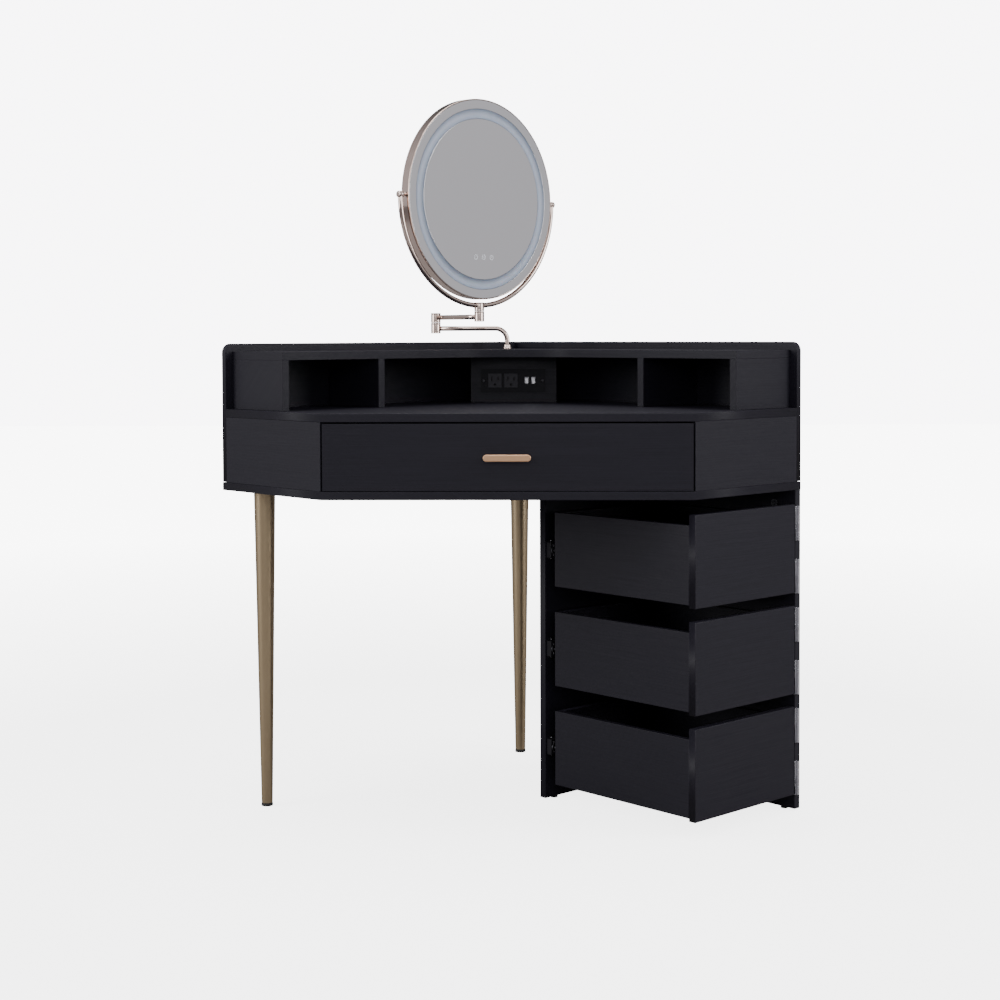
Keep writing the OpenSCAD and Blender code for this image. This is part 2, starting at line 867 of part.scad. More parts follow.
// Turns a shape revolved about Z so that Z points into the mirror's back
module mirror_axis() {
    at_mirror() translate([0, -mirror_t / 2, 0]) rotate([-90, 0, 0]) children();
}

// The case: a rim with a ledge behind the glass, and a boss at each pivot
module mirror_case() {
    boss_r = glass_r - 14;
    bore = pivot_d + 2 * pin_play;
    color(nickel) difference() {
        union() {
            mirror_axis() rotate_extrude($fn = 128) {
                translate([glass_r, 0]) square([rim_t, mirror_t]);
                translate([glass_r - ledge_w, glass_t]) square([ledge_w + 1, ledge_t]);
            }
            at_mirror() for (side = [-1, 1]) rotate([0, side * 90, 0])
                translate([0, 0, boss_r]) cylinder(d = boss_d, h = case_r - boss_r - 1);
        }
        at_mirror() for (side = [-1, 1]) rotate([0, side * 90, 0])
            translate([0, 0, boss_r - 1]) cylinder(d = bore, h = case_r);
    }
}

module mirror_back_cover() {
    color(nickel) mirror_axis() translate([0, 0, mirror_t - cover_t])
        cylinder(r = glass_r, h = cover_t);
}

module mirror_glass() {
    color([0.7, 0.7, 0.72]) mirror_axis() {
        cylinder(r = light_in_r, h = glass_t);
        difference() {
            cylinder(r = glass_r, h = glass_t);
            translate([0, 0, -1]) cylinder(r = light_out_r, h = glass_t + 2);
        }
    }
}

module mirror_light() {
    color([0.62, 0.68, 0.76]) mirror_axis() difference() {
        cylinder(r = light_out_r, h = light_t);
        translate([0, 0, -1]) cylinder(r = light_in_r, h = light_t + 2);
    }
}

// The light's strip behind the diffuser, and the driver box behind the glass
module mirror_electronics() {
    middle = (light_in_r + light_out_r) / 2;
    color(dark) mirror_axis() {
        translate([0, 0, light_t]) difference() {
            cylinder(r = middle + led_w / 2, h = led_t);
            translate([0, 0, -1]) cylinder(r = middle - led_w / 2, h = led_t + 2);
        }
        translate([-driver[0] / 2, -driver[1] / 2, glass_t]) cube(driver);
    }
}

bottom_board();
desktop();
back_panel_left();
back_panel_right();
end_panel_left();
end_panel_right();
runner_panels();
hutch_top();
hutch_ends();
hutch_dividers();
socket_panel();
socket_box_sides();
power_module();
power_outlets();
usb_ports();
socket_screws();
leg_left();
leg_rear();
leg_plates();
leg_feet();
cabinet_side_panel();
cabinet_wall_panel();
floor_glides();
cam_locks();
hinge_frames();
hinge_pins();
magnetic_catches();
runner_channels();
mirror_base_collar();
mirror_base_nut();
drawer_front();
drawer_sides();
drawer_back();
drawer_bottom();
drawer_rails();
drawer_handle();
drawer_handle_screws();
swing_front(swing_zs[0]);  // lower_swing_front
swing_sides(swing_zs[0]);  // lower_swing_sides
swing_back(swing_zs[0]);  // lower_swing_back
swing_bottom(swing_zs[0]);  // lower_swing_bottom
swing_fittings(swing_zs[0]);  // lower_swing_fittings
swing_front(swing_zs[1]);  // middle_swing_front
swing_sides(swing_zs[1]);  // middle_swing_sides
swing_back(swing_zs[1]);  // middle_swing_back
swing_bottom(swing_zs[1]);  // middle_swing_bottom
swing_fittings(swing_zs[1]);  // middle_swing_fittings
swing_front(swing_zs[2]);  // upper_swing_front
swing_sides(swing_zs[2]);  // upper_swing_sides
swing_back(swing_zs[2]);  // upper_swing_back
swing_bottom(swing_zs[2]);  // upper_swing_bottom
swing_fittings(swing_zs[2]);  // upper_swing_fittings
mirror_lower_arm();
mirror_upper_arm();
mirror_yoke();
mirror_case();
mirror_back_cover();
mirror_glass();
mirror_light();
mirror_electronics();
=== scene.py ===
"""A corner vanity table with a lit mirror on a jointed arm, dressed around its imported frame."""

import json
import math

import bmesh
import bpy
import numpy as np
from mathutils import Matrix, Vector


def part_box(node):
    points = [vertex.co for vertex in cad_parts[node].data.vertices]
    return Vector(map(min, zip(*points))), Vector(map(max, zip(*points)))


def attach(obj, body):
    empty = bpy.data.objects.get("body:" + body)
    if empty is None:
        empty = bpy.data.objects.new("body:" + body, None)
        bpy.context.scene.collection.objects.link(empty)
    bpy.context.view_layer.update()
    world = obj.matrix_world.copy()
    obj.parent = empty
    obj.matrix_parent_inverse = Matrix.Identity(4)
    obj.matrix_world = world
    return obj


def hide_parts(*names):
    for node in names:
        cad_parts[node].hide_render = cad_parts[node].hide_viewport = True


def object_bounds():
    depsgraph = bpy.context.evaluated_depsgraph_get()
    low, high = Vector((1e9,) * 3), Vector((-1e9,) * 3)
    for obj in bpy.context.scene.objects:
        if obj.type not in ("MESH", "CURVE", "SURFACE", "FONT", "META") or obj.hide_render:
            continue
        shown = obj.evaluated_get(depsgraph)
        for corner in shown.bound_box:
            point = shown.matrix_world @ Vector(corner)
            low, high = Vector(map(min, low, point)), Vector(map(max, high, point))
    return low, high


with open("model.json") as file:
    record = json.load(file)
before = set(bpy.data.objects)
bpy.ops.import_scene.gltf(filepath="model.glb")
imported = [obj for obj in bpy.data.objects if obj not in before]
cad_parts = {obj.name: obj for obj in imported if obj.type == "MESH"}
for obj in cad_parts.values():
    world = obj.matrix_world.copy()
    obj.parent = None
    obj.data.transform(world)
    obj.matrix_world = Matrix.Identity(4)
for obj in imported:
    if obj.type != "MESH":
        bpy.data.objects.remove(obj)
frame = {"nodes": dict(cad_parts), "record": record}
cad_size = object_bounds()

# ---- directions and measuring ------------------------------------------------

HALF = math.sqrt(0.5)
X = np.array((1.0, 0.0, 0.0))
Y = np.array((0.0, 1.0, 0.0))
Z = np.array((0.0, 0.0, 1.0))
ALONG_LEFT = np.array((-HALF, -HALF, 0.0))
ALONG_RIGHT = np.array((HALF, -HALF, 0.0))
MM = 0.001
EDGE = 0.8 * MM
BACK_CORNER_R = 17 * MM
BODIES = frame["record"]["behaviour"]["bodies"]
BODY_OF = {node: body for body, nodes in BODIES.items() for node in nodes}
JOINTS = {joint["name"]: joint for joint in frame["record"]["behaviour"]["joints"]}
CORNER = cad_size[1][1] * HALF


def node_points(node):
    """Every corner of a CAD node's mesh, as rows of an array."""
    mesh = frame["nodes"][node].data
    flat = np.zeros(len(mesh.vertices) * 3)
    mesh.vertices.foreach_get("co", flat)
    return flat.reshape(-1, 3)


def parted(points, count, axis):
    """Splits points into count groups along axis at the widest gaps."""
    reach = points @ axis
    order = np.sort(reach)
    cuts = np.sort(np.argsort(np.diff(order))[-(count - 1):])
    limits = [(order[i] + order[i + 1]) / 2 for i in cuts]
    which = np.searchsorted(limits, reach)
    return [points[which == k] for k in range(count)]


def spans(points, axes):
    """Lowest and highest reach of the points along each axis."""
    reach = points @ np.array(axes).T
    return list(zip(reach.min(0), reach.max(0)))


# ---- mesh making ---------------------------------------------------------------


class Shape:
    """Collects patches of surface that become one piece."""

    def __init__(self):
        self.points, self.faces, self.wear, self.count = [], [], [], 0

    def add(self, points, faces, wear=None):
        points = np.asarray(points, float).reshape(-1, 3)
        self.points.append(points)
        self.faces += [[index + self.count for index in face] for face in faces]
        self.wear.append(np.zeros(len(points)) if wear is None else np.ravel(wear))
        self.count += len(points)
        return self


def grid_faces(rows, columns, wrap=True):
    """Quads of a grid, row by row; wrap joins the last column to the first."""
    row = np.arange(rows - 1)[:, None]
    column = np.arange(columns if wrap else columns - 1)[None, :]
    after = (column + 1) % columns
    quads = np.stack([row * columns + column, (row + 1) * columns + column,
                      (row + 1) * columns + after, row * columns + after], -1)
    return quads.reshape(-1, 4).tolist()


def arc(centre, radius, start, end, steps=8):
    """Points on a circle round centre, from one angle to another in degrees."""
    angle = np.radians(np.linspace(start, end, steps + 1))
    return np.stack([centre[0] + radius * np.cos(angle), centre[1] + radius * np.sin(angle)], -1)


def rounded_outline(u, v, radius, steps=6):
    """A rectangle over two ranges, with a quarter circle at each corner."""
    corners = [((u[1] - radius, v[1] - radius), 0), ((u[0] + radius, v[1] - radius), 90),
               ((u[0] + radius, v[0] + radius), 180), ((u[1] - radius, v[0] + radius), 270)]
    return np.concatenate([arc(c, radius, a, a + 90, steps) for c, a in corners])


def rectangle(u, v):
    return [(u[0], v[0]), (u[1], v[0]), (u[1], v[1]), (u[0], v[1])]


def carried(shape, outline, profile, axes, wear=None):
    """A profile carried round a closed outline. Each (inset, height) row of the profile moves every
    outline point inwards along its mitre by the inset and up by the height; a flat face closes
    the first row and the last. axes are the outline's two directions, height is square to them."""
    u, v = np.asarray(axes[0]), np.asarray(axes[1])
    outline = np.asarray(outline, float)
    after = np.roll(outline, -1, 0)
    if np.sum(outline[:, 0] * after[:, 1] - outline[:, 1] * after[:, 0]) < 0:
        outline = outline[::-1]
        after = np.roll(outline, -1, 0)
    ahead = after - outline
    ahead /= np.linalg.norm(ahead, axis=1, keepdims=True)
    behind = np.roll(ahead, 1, 0)
    inward_a = np.stack([-ahead[:, 1], ahead[:, 0]], -1)
    inward_b = np.stack([-behind[:, 1], behind[:, 0]], -1)
    mitre = (inward_a + inward_b) / (1 + np.sum(inward_a * inward_b, 1, keepdims=True))
    profile = np.asarray(profile, float)
    flat = outline[None] + profile[:, 0, None, None] * mitre[None]
    world = (flat[..., :1] * u + flat[..., 1:] * v
             + profile[:, 1, None, None] * np.cross(u, v))
    rings, around = flat.shape[:2]
    faces = grid_faces(rings, around)
    faces.append(list(range(around)))
    faces.append(list(range((rings - 1) * around, rings * around))[::-1])
    return shape.add(world, faces, None if wear is None else np.repeat(wear, around))


def slab(shape, outline, low, high, axes, edge=EDGE, steps=3):
    """A board: a quarter-round, a straight drop and a quarter-round are carried round the outline."""
    turn = np.linspace(0, math.pi / 2, steps + 1)
    inset = edge * (1 - np.sin(turn))
    drop = edge * (1 - np.cos(turn))
    profile = np.stack([np.concatenate([inset, inset[::-1]]),
                        np.concatenate([high - drop, (low + drop)[::-1]])], -1)
    wear = np.sin(2 * turn)
    return carried(shape, outline, profile, axes, np.concatenate([wear, wear[::-1]]))


def revolve(shape, profile, centre, axis, side, segments=96, wear=None):
    """A turned part: each (radius, height) point of the profile goes once round the axis."""
    axis, side = np.asarray(axis, float), np.asarray(side, float)
    profile = np.asarray(profile, float)
    angle = np.linspace(0, 2 * math.pi, segments, endpoint=False)
    spoke = np.cos(angle)[:, None] * side + np.sin(angle)[:, None] * np.cross(axis, side)
    world = (np.asarray(centre, float) + profile[:, None, :1] * spoke[None]
             + profile[:, None, 1:] * axis)
    return shape.add(world, grid_faces(len(profile), segments),
                     None if wear is None else np.repeat(wear, segments))


def eased(radius, low, high, edge, steps=4):
    """Profile of a closed turned cylinder whose two rims are quarter-rounds."""
    top = arc((radius - edge, high - edge), edge, 90, 0, steps)
    bottom = arc((radius - edge, low + edge), edge, 0, -90, steps)
    return np.concatenate([[(0, high)], top, bottom, [(0, low)]])


def ring(shape, section, centre, axis, side, segments=128, wear=None):
    """A turned ring: a closed section of (radius, height) points goes once round the axis."""
    section = np.asarray(section, float)
    closed = np.concatenate([section, section[:1]])
    if wear is not None:
        wear = np.concatenate([wear, wear[:1]])
    return revolve(shape, closed, centre, axis, side, segments, wear)


def screw(shape, centre, axis, side, radius, proud):
    """A screw head: a low dome with a round drive recess in its middle."""
    profile = [(0, 0.35 * proud), (0.3 * radius, 0.35 * proud), (0.36 * radius, 0.95 * proud),
               (0.6 * radius, proud), (0.85 * radius, 0.75 * proud), (radius, 0.2 * proud),
               (radius, -0.2 * MM), (0, -0.2 * MM)]
    return revolve(shape, profile, centre, axis, side, 24)


def tube(shape, path, normal, radius, segments=32):
    """A round tube: a circle carried along a path that lies in one plane, square to it all along."""
    path, normal = np.asarray(path, float), np.asarray(normal, float)
    ahead = np.gradient(path, axis=0)
    ahead /= np.linalg.norm(ahead, axis=1, keepdims=True)
    across = np.cross(normal, ahead)
    angle = np.linspace(0, 2 * math.pi, segments, endpoint=False)
    world = (path[:, None] + radius * (np.cos(angle)[None, :, None] * across[:, None]
                                       + np.sin(angle)[None, :, None] * normal))
    faces = grid_faces(len(path), segments)
    faces = [face[::-1] for face in faces]
    faces.append(list(range(segments)))
    faces.append(list(range((len(path) - 1) * segments, len(path) * segments))[::-1])
    return shape.add(world, faces)


def as_piece(shape, name, material, body, nodes=(), grain=None, across=Z, flat=False):
    """Makes the collected surface one object. Its UV map is in metres: u runs along the grain, and
    v across it, so that the pattern wraps over every edge without stretching."""
    points = np.concatenate(shape.points)
    mesh = bpy.data.meshes.new(name)
    mesh.from_pydata(points.tolist(), [], shape.faces)
    # per-vertex mask: rubbed-edge wear on most pieces, painted shade on the mirror light
    wear = mesh.attributes.new("wear", "FLOAT", "POINT")
    wear.data.foreach_set("value", np.concatenate(shape.wear))
    solid = bmesh.new()
    solid.from_mesh(mesh)
    bmesh.ops.remove_doubles(solid, verts=solid.verts, dist=1e-6)
    bmesh.ops.recalc_face_normals(solid, faces=solid.faces)
    solid.to_mesh(mesh)
    solid.free()
    return dress(mesh, name, material, body, nodes, grain, across, flat)


def map_grain(mesh, grain, across):
    """Writes the UV map: u is the reach along the grain, v the reach along the two directions
    square to it, added together."""
    third = np.cross(grain, across)
    flat = np.zeros(len(mesh.vertices) * 3)
    mesh.vertices.foreach_get("co", flat)
    corner = np.zeros(len(mesh.loops), np.int32)
    mesh.loops.foreach_get("vertex_index", corner)
    place = flat.reshape(-1, 3)[corner]
    uv = np.stack([place @ grain, place @ across + place @ third], -1)
    mesh.uv_layers.new(name="grain").data.foreach_set("uv", uv.ravel())


def dress(mesh, name, material, body, nodes, grain, across, flat=False):
    """Gives a finished mesh its grain, material and body."""
    map_grain(mesh, np.asarray(X if grain is None else grain), np.asarray(across))
    mesh.materials.append(material)
    mesh.shade_flat() if flat else mesh.shade_smooth()
    piece = bpy.data.objects.new(name, mesh)
    bpy.context.scene.collection.objects.link(piece)
    even = piece.modifiers.new("even_normals", "WEIGHTED_NORMAL")
    even.keep_sharp = True
    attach(piece, body)
    if nodes:
        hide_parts(*nodes)
    return piece


def eased_copy(node, name, material, edge, grain=None, across=Z, segments=2):
    """A CAD node's own shape with its loose triangles joined, flat faces made whole and every sharp
    edge eased by a small round."""
    mesh = frame["nodes"][node].data.copy()
    mesh.materials.clear()
    solid = bmesh.new()
    solid.from_mesh(mesh)
    bmesh.ops.remove_doubles(solid, verts=solid.verts, dist=1e-5)
    bmesh.ops.dissolve_limit(solid, angle_limit=math.radians(1), verts=solid.verts, edges=solid.edges)
    solid.to_mesh(mesh)
    solid.free()
    for layer in list(mesh.uv_layers):
        mesh.uv_layers.remove(layer)
    piece = dress(mesh, name, material, BODY_OF[node], (node,), grain, across)
    ease = piece.modifiers.new("eased_edges", "BEVEL")
    ease.width = edge
    ease.segments = segments
    ease.limit_method = "ANGLE"
    ease.angle_limit = math.radians(40)
    ease.use_clamp_overlap = True
    piece.modifiers.move(1, 0)
    return piece


# ---- shader helpers --------------------------------------------------------------


class Nodes:
    """Short way to add and join nodes in a material or a group."""

    def __init__(self, tree):
        self.tree = tree

    def add(self, kind, inputs=None, **settings):
        node = self.tree.nodes.new(kind)
        for key, value in settings.items():
            setattr(node, key, value)
        for key, value in (inputs or {}).items():
            socket = node.inputs[key]
            if isinstance(value, bpy.types.NodeSocket):
                self.tree.links.new(value, socket)
            else:
                socket.default_value = value
        return node

    def math(self, operation, a, b=0.0, clamp=False):
        return self.add("ShaderNodeMath", {0: a, 1: b}, operation=operation, use_clamp=clamp).outputs[0]

    def mix(self, factor, a, b):
        node = self.add("ShaderNodeMix", {"Factor": factor}, data_type="RGBA")
        for index, value in ((6, a), (7, b)):
            if isinstance(value, bpy.types.NodeSocket):
                self.tree.links.new(value, node.inputs[index])
            else:
                node.inputs[index].default_value = value
        return node.outputs[2]

    def between(self, value, low, high, to_low=0.0, to_high=1.0):
        return self.add("ShaderNodeMapRange", {"Value": value, "From Min": low, "From Max": high,
                                               "To Min": to_low, "To Max": to_high}).outputs[0]

    def noise(self, vector, scale, detail=3.0, rough=0.55):
        return self.add("ShaderNodeTexNoise", {"Vector": vector, "Scale": scale, "Detail": detail,
                                               "Roughness": rough}).outputs["Fac"]

    def group(self, tree, **inputs):
        made = self.tree.nodes.new("ShaderNodeGroup")
        made.node_tree = tree
        for key, value in inputs.items():
            if isinstance(value, bpy.types.NodeSocket):
                self.tree.links.new(value, made.inputs[key])
            else:
                made.inputs[key].default_value = value
        return made.outputs

    def value_of(self, name):
        return self.add("ShaderNodeAttribute", attribute_name=name).outputs["Fac"]

    def stretch(self, vector, scale, turn=(0.0, 0.0, 0.0)):
        return self.add("ShaderNodeMapping", {"Vector": vector, "Scale": scale,
                                              "Rotation": turn}).outputs[0]


def new_group(name, inputs, outputs):
    """An empty shader group with named sockets."""
    tree = bpy.data.node_groups.new(name, "ShaderNodeTree")
    for label, kind, value in inputs:
        socket = tree.interface.new_socket(label, in_out="INPUT", socket_type=kind)
        if value is not None:
            socket.default_value = value
    for label, kind in outputs:
        tree.interface.new_socket(label, in_out="OUTPUT", socket_type=kind)
    made = Nodes(tree)
    return made, made.add("NodeGroupInput").outputs, made.add("NodeGroupOutput").inputs, tree


def make_grain_group():
    """Fine pressed wood grain: long thin pores, broader bands and a slow change of tone."""
    n, given, out, tree = new_group(
        "pressed_grain", [("Vector", "NodeSocketVector", None)],
        [("Pores", "NodeSocketFloat"), ("Bands", "NodeSocketFloat"), ("Height", "NodeSocketFloat")])
    wander = n.noise(n.stretch(given["Vector"], (2.2, 7.0, 1.0)), 1.0, 2.0)
    bent = n.add("ShaderNodeVectorMath", {0: given["Vector"], 1: n.add(
        "ShaderNodeCombineXYZ", {"Y": n.math("MULTIPLY", wander, 0.02)}).outputs[0]},
        operation="ADD").outputs[0]
    fine = n.noise(n.stretch(bent, (14.0, 1500.0, 1.0)), 1.0, 2.0, 0.6)
    thin = n.noise(n.stretch(bent, (5.0, 520.0, 1.0)), 1.0, 3.0, 0.6)
    bands = n.noise(n.stretch(bent, (1.6, 60.0, 1.0)), 1.0, 2.0)
    pores = n.between(n.math("ADD", n.math("MULTIPLY", fine, 0.5), n.math("MULTIPLY", thin, 0.5)),
                      0.40, 0.60)
    n.tree.links.new(pores, out["Pores"])
    n.tree.links.new(bands, out["Bands"])
    height = n.math("ADD", pores, n.math("MULTIPLY", bands, 0.6))
    n.tree.links.new(height, out["Height"])
    return tree


def make_scuff_group():
    """Slow smudges and small specks that make a surface's gloss uneven."""
    n, given, out, tree = new_group(
        "uneven_gloss", [("Vector", "NodeSocketVector", None), ("Size", "NodeSocketFloat", 6.0)],
        [("Smudge", "NodeSocketFloat"), ("Speck", "NodeSocketFloat")])
    smudge = n.between(n.noise(given["Vector"], given["Size"], 4.0, 0.6), 0.3, 0.7)
    speck = n.between(n.noise(given["Vector"], n.math("MULTIPLY", given["Size"], 90.0), 2.0), 0.55, 0.75)
    n.tree.links.new(smudge, out["Smudge"])
    n.tree.links.new(speck, out["Speck"])
    return tree


def make_wear_group():
    """Rubbed edges: the edge mask broken up by noise."""
    n, given, out, tree = new_group(
        "rubbed_edges", [("Vector", "NodeSocketVector", None), ("Edge", "NodeSocketFloat", 0.0)],
        [("Mask", "NodeSocketFloat")])
    rub = n.between(n.noise(given["Vector"], 45.0, 4.0, 0.65), 0.42, 0.72)
    n.tree.links.new(n.math("MULTIPLY", rub, given["Edge"], clamp=True), out["Mask"])
    return tree


GRAIN = make_grain_group()
SCUFF = make_scuff_group()
WEAR = make_wear_group()


def new_material(name, **constants):
    """A material with one Principled shader, whose constant numbers sit on its own sockets."""
    material = bpy.data.materials.new(name)
    material.use_nodes = True
    n = Nodes(material.node_tree)
    shader = material.node_tree.nodes["Principled BSDF"]
    for key, value in constants.items():
        shader.inputs[key.replace("_", " ")].default_value = value
    place = n.add("ShaderNodeTexCoord").outputs["Object"]
    return material, n, shader, place


def link(n, value, socket):
    n.tree.links.new(value, socket)


def bump(n, shader, height, depth, strength=1.0):
    """Joins a height to the shader's Normal; depth is in metres."""
    node = n.add("ShaderNodeBump", {"Height": height, "Distance": depth, "Strength": strength})
    link(n, node.outputs[0], shader.inputs["Normal"])


def laminate(name, dark, pale, rough, depth):
    """Black wood-grain laminate: fine pores and broader bands set its tone, gloss and relief."""
    material, n, shader, place = new_material(name, Specular_IOR_Level=0.22)
    grain = n.group(GRAIN, Vector=n.add("ShaderNodeUVMap", uv_map="grain").outputs[0])
    scuff = n.group(SCUFF, Vector=place)
    rubbed = n.group(WEAR, Vector=place, Edge=n.value_of("wear"))
    tone = n.math("ADD", n.math("MULTIPLY", grain["Pores"], 0.55),
                  n.math("MULTIPLY", grain["Bands"], 0.45))
    bright = tuple(min(1.0, 2.4 * c) for c in pale[:3]) + (1.0,)
    colour = n.mix(n.math("MULTIPLY", rubbed["Mask"], 0.5), n.mix(tone, dark, pale), bright)
    link(n, colour, shader.inputs["Base Color"])
    gloss = n.math("ADD", n.math("MULTIPLY", grain["Pores"], -0.08),
                   n.math("MULTIPLY", scuff["Smudge"], 0.07))
    gloss = n.math("ADD", gloss, n.math("MULTIPLY", scuff["Speck"], 0.05))
    link(n, n.math("ADD", gloss, rough), shader.inputs["Roughness"])
    bump(n, shader, grain["Height"], depth)
    return material


def metal(name, colour, tint, rough, brush=None, spread=0.08, streak=0.0):
    """Metal with uneven gloss; brush stretches fine lines along one direction."""
    material, n, shader, place = new_material(name, Metallic=1.0)
    scuff = n.group(SCUFF, Vector=place, Size=14.0)
    fine = n.noise(n.stretch(place, brush or (900.0, 900.0, 900.0)), 1.0, 2.0)
    rubbed = n.group(WEAR, Vector=place, Edge=n.value_of("wear"))
    mixed = n.math("ADD", n.math("MULTIPLY", scuff["Smudge"], 0.6), n.math("MULTIPLY", fine, 0.4))
    bright = tuple(min(1.0, 1.25 * c) for c in colour[:3]) + (1.0,)
    link(n, n.mix(rubbed["Mask"], n.mix(mixed, colour, tint), bright), shader.inputs["Base Color"])
    gloss = n.math("ADD", n.math("MULTIPLY", scuff["Smudge"], spread), n.math("MULTIPLY", fine, streak))
    link(n, n.math("ADD", gloss, rough), shader.inputs["Roughness"])
    bump(n, shader, fine, 0.00002 + 0.0002 * streak, 0.4)
    return material


def moulded(name, colour, tint, rough, grain_size=1400.0, depth=0.00004, painted_shade=None, **constants):
    """Moulded plastic, rubber or frosted glass with a fine spark-eroded texture; the optional shade colour
    is painted shade, mixed in where the mesh's per-vertex mask is high."""
    material, n, shader, place = new_material(name, **constants)
    scuff = n.group(SCUFF, Vector=place, Size=30.0)
    spark = n.noise(place, grain_size, 2.0)
    base = n.mix(scuff["Smudge"], colour, tint)
    # painted shade: where the mesh's mask is high, the colour is darkened towards the shade colour
    if painted_shade:
        base = n.mix(n.value_of("wear"), base, painted_shade)
    link(n, base, shader.inputs["Base Color"])
    gloss = n.math("ADD", n.math("MULTIPLY", scuff["Smudge"], 0.1), n.math("MULTIPLY", spark, 0.08))
    link(n, n.math("ADD", gloss, rough), shader.inputs["Roughness"])
    bump(n, shader, spark, depth)
    return material


def silvered(name):
    """Silvered glass: nearly flat, with a breath of dust and long faint ripples."""
    material, n, shader, place = new_material(name, Metallic=1.0)
    scuff = n.group(SCUFF, Vector=place)
    ripple = n.noise(n.stretch(place, (3.0, 3.0, 0.6)), 1.0, 1.0)
    link(n, n.mix(ripple, (0.76, 0.755, 0.775, 1), (0.82, 0.815, 0.835, 1)), shader.inputs["Base Color"])
    link(n, n.between(scuff["Smudge"], 0.0, 1.0, 0.015, 0.05), shader.inputs["Roughness"])
    bump(n, shader, ripple, 0.00012)
    return material


BLACK = laminate("black_laminate", (0.0078, 0.0070, 0.0122, 1), (0.0128, 0.0118, 0.0188, 1), 0.5, 0.00005)
BOARD = laminate("drawer_laminate", (0.0100, 0.0092, 0.0152, 1), (0.0160, 0.0150, 0.0232, 1), 0.58, 0.00004)
BRONZE = metal("antique_gold", (0.43, 0.335, 0.215, 1), (0.35, 0.27, 0.17, 1), 0.30,
               (700.0, 700.0, 12.0), 0.08, 0.10)
ROSE = metal("rose_gold", (0.66, 0.42, 0.26, 1), (0.60, 0.37, 0.22, 1), 0.34,
             (14.0, 800.0, 800.0), 0.05, 0.10)
NICKEL = metal("warm_nickel", (0.72, 0.59, 0.53, 1), (0.66, 0.53, 0.47, 1), 0.07, None, 0.06)
SATIN_NICKEL = metal("satin_nickel", (0.60, 0.53, 0.50, 1), (0.54, 0.48, 0.45, 1), 0.26,
                     (40.0, 40.0, 900.0), 0.08, 0.08)
STEEL = metal("zinc_plate", (0.66, 0.66, 0.69, 1), (0.56, 0.56, 0.60, 1), 0.20, None, 0.14)
DARK_STEEL = metal("dark_zinc", (0.10, 0.10, 0.11, 1), (0.07, 0.07, 0.08, 1), 0.34, None, 0.14)
PLASTIC = moulded("black_plastic", (0.0075, 0.0070, 0.0100, 1), (0.0115, 0.0108, 0.0145, 1), 0.5,
                  Specular_IOR_Level=0.18)
OUTLET = moulded("outlet_plastic", (0.0270, 0.0255, 0.0330, 1), (0.0340, 0.0325, 0.0410, 1), 0.42,
                 Specular_IOR_Level=0.25)
RUBBER = moulded("black_rubber", (0.012, 0.012, 0.012, 1), (0.022, 0.022, 0.022, 1), 0.66, 700.0, 0.0001)
# the third colour is painted shade, laid on the light's trough towards its rims
FROST = moulded("frosted_diffuser", (0.42, 0.465, 0.57, 1), (0.46, 0.505, 0.61, 1), 0.42, 900.0, 0.00002,
                (0.22, 0.26, 0.35, 1), Subsurface_Weight=0.1)
ICON = moulded("frosted_icon", (0.80, 0.84, 0.90, 1), (0.86, 0.89, 0.94, 1), 0.5, 900.0, 0.00002)
MIRROR = silvered("silvered_glass")

# ---- boards ----------------------------------------------------------------------


def board(node, name, material, length, width, outline=None, parts=None, edge=EDGE):
    """The CAD node's board with eased edges; its grain runs along length. parts is the direction
    along which a pair of boards is parted."""
    groups = [node_points(node)] if parts is None else parted(node_points(node), 2, parts)
    shape = Shape()
    for points in groups:
        u, v, n = spans(points, (length, width, np.cross(length, width)))
        slab(shape, (outline or rectangle)(u, v), n[0], n[1], (length, width), edge)
    return as_piece(shape, name, material, BODY_OF[node], (node,), length, width)


def desk_outline(node):
    """The desk's plan: a square corner with its front cut off along X."""
    def outline(p, q):
        reach = -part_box(node)[0].y / HALF
        return [(p[0], q[0]), (p[1], q[0]), (p[1], reach - p[1]), (reach - q[1], q[1]), (p[0], q[1])]
    return outline


def back_outline(length, height):
    """A back panel: a rectangle with its outer top corner rounded."""
    radius = BACK_CORNER_R
    return np.concatenate([[(length[0], height[0]), (length[1], height[0])],
                           arc((length[1] - radius, height[1] - radius), radius, 0, 90, 10),
                           [(length[0], height[1])]])


for node in ("bottom_board", "desktop"):
    board(node, node + "_laminated", BLACK, ALONG_LEFT, ALONG_RIGHT, desk_outline(node))
board("back_panel_left", "back_panel_left_laminated", BLACK, ALONG_LEFT, Z, back_outline)
board("back_panel_right", "back_panel_right_laminated", BLACK, ALONG_RIGHT, Z, back_outline)
board("runner_panels", "runner_panels_laminated", BOARD, Y, Z, parts=X)
board("drawer_sides", "drawer_sides_laminated", BOARD, Y, Z, parts=X)
board("drawer_back", "drawer_back_laminated", BOARD, X, Z)
board("drawer_bottom", "drawer_bottom_laminated", BOARD, X, Y)
for level in ("lower", "middle", "upper"):
    board(level + "_swing_front", level + "_swing_front_laminated", BLACK, ALONG_LEFT, Z)
    board(level + "_swing_sides", level + "_swing_sides_laminated", BLACK, ALONG_RIGHT, Z,
          parts=ALONG_LEFT)
    board(level + "_swing_back", level + "_swing_back_laminated", BLACK, ALONG_LEFT, Z)
    board(level + "_swing_bottom", level + "_swing_bottom_laminated", BOARD, ALONG_LEFT, ALONG_RIGHT)
board("cabinet_side_panel", "cabinet_side_panel_laminated", BLACK, Z, ALONG_LEFT)

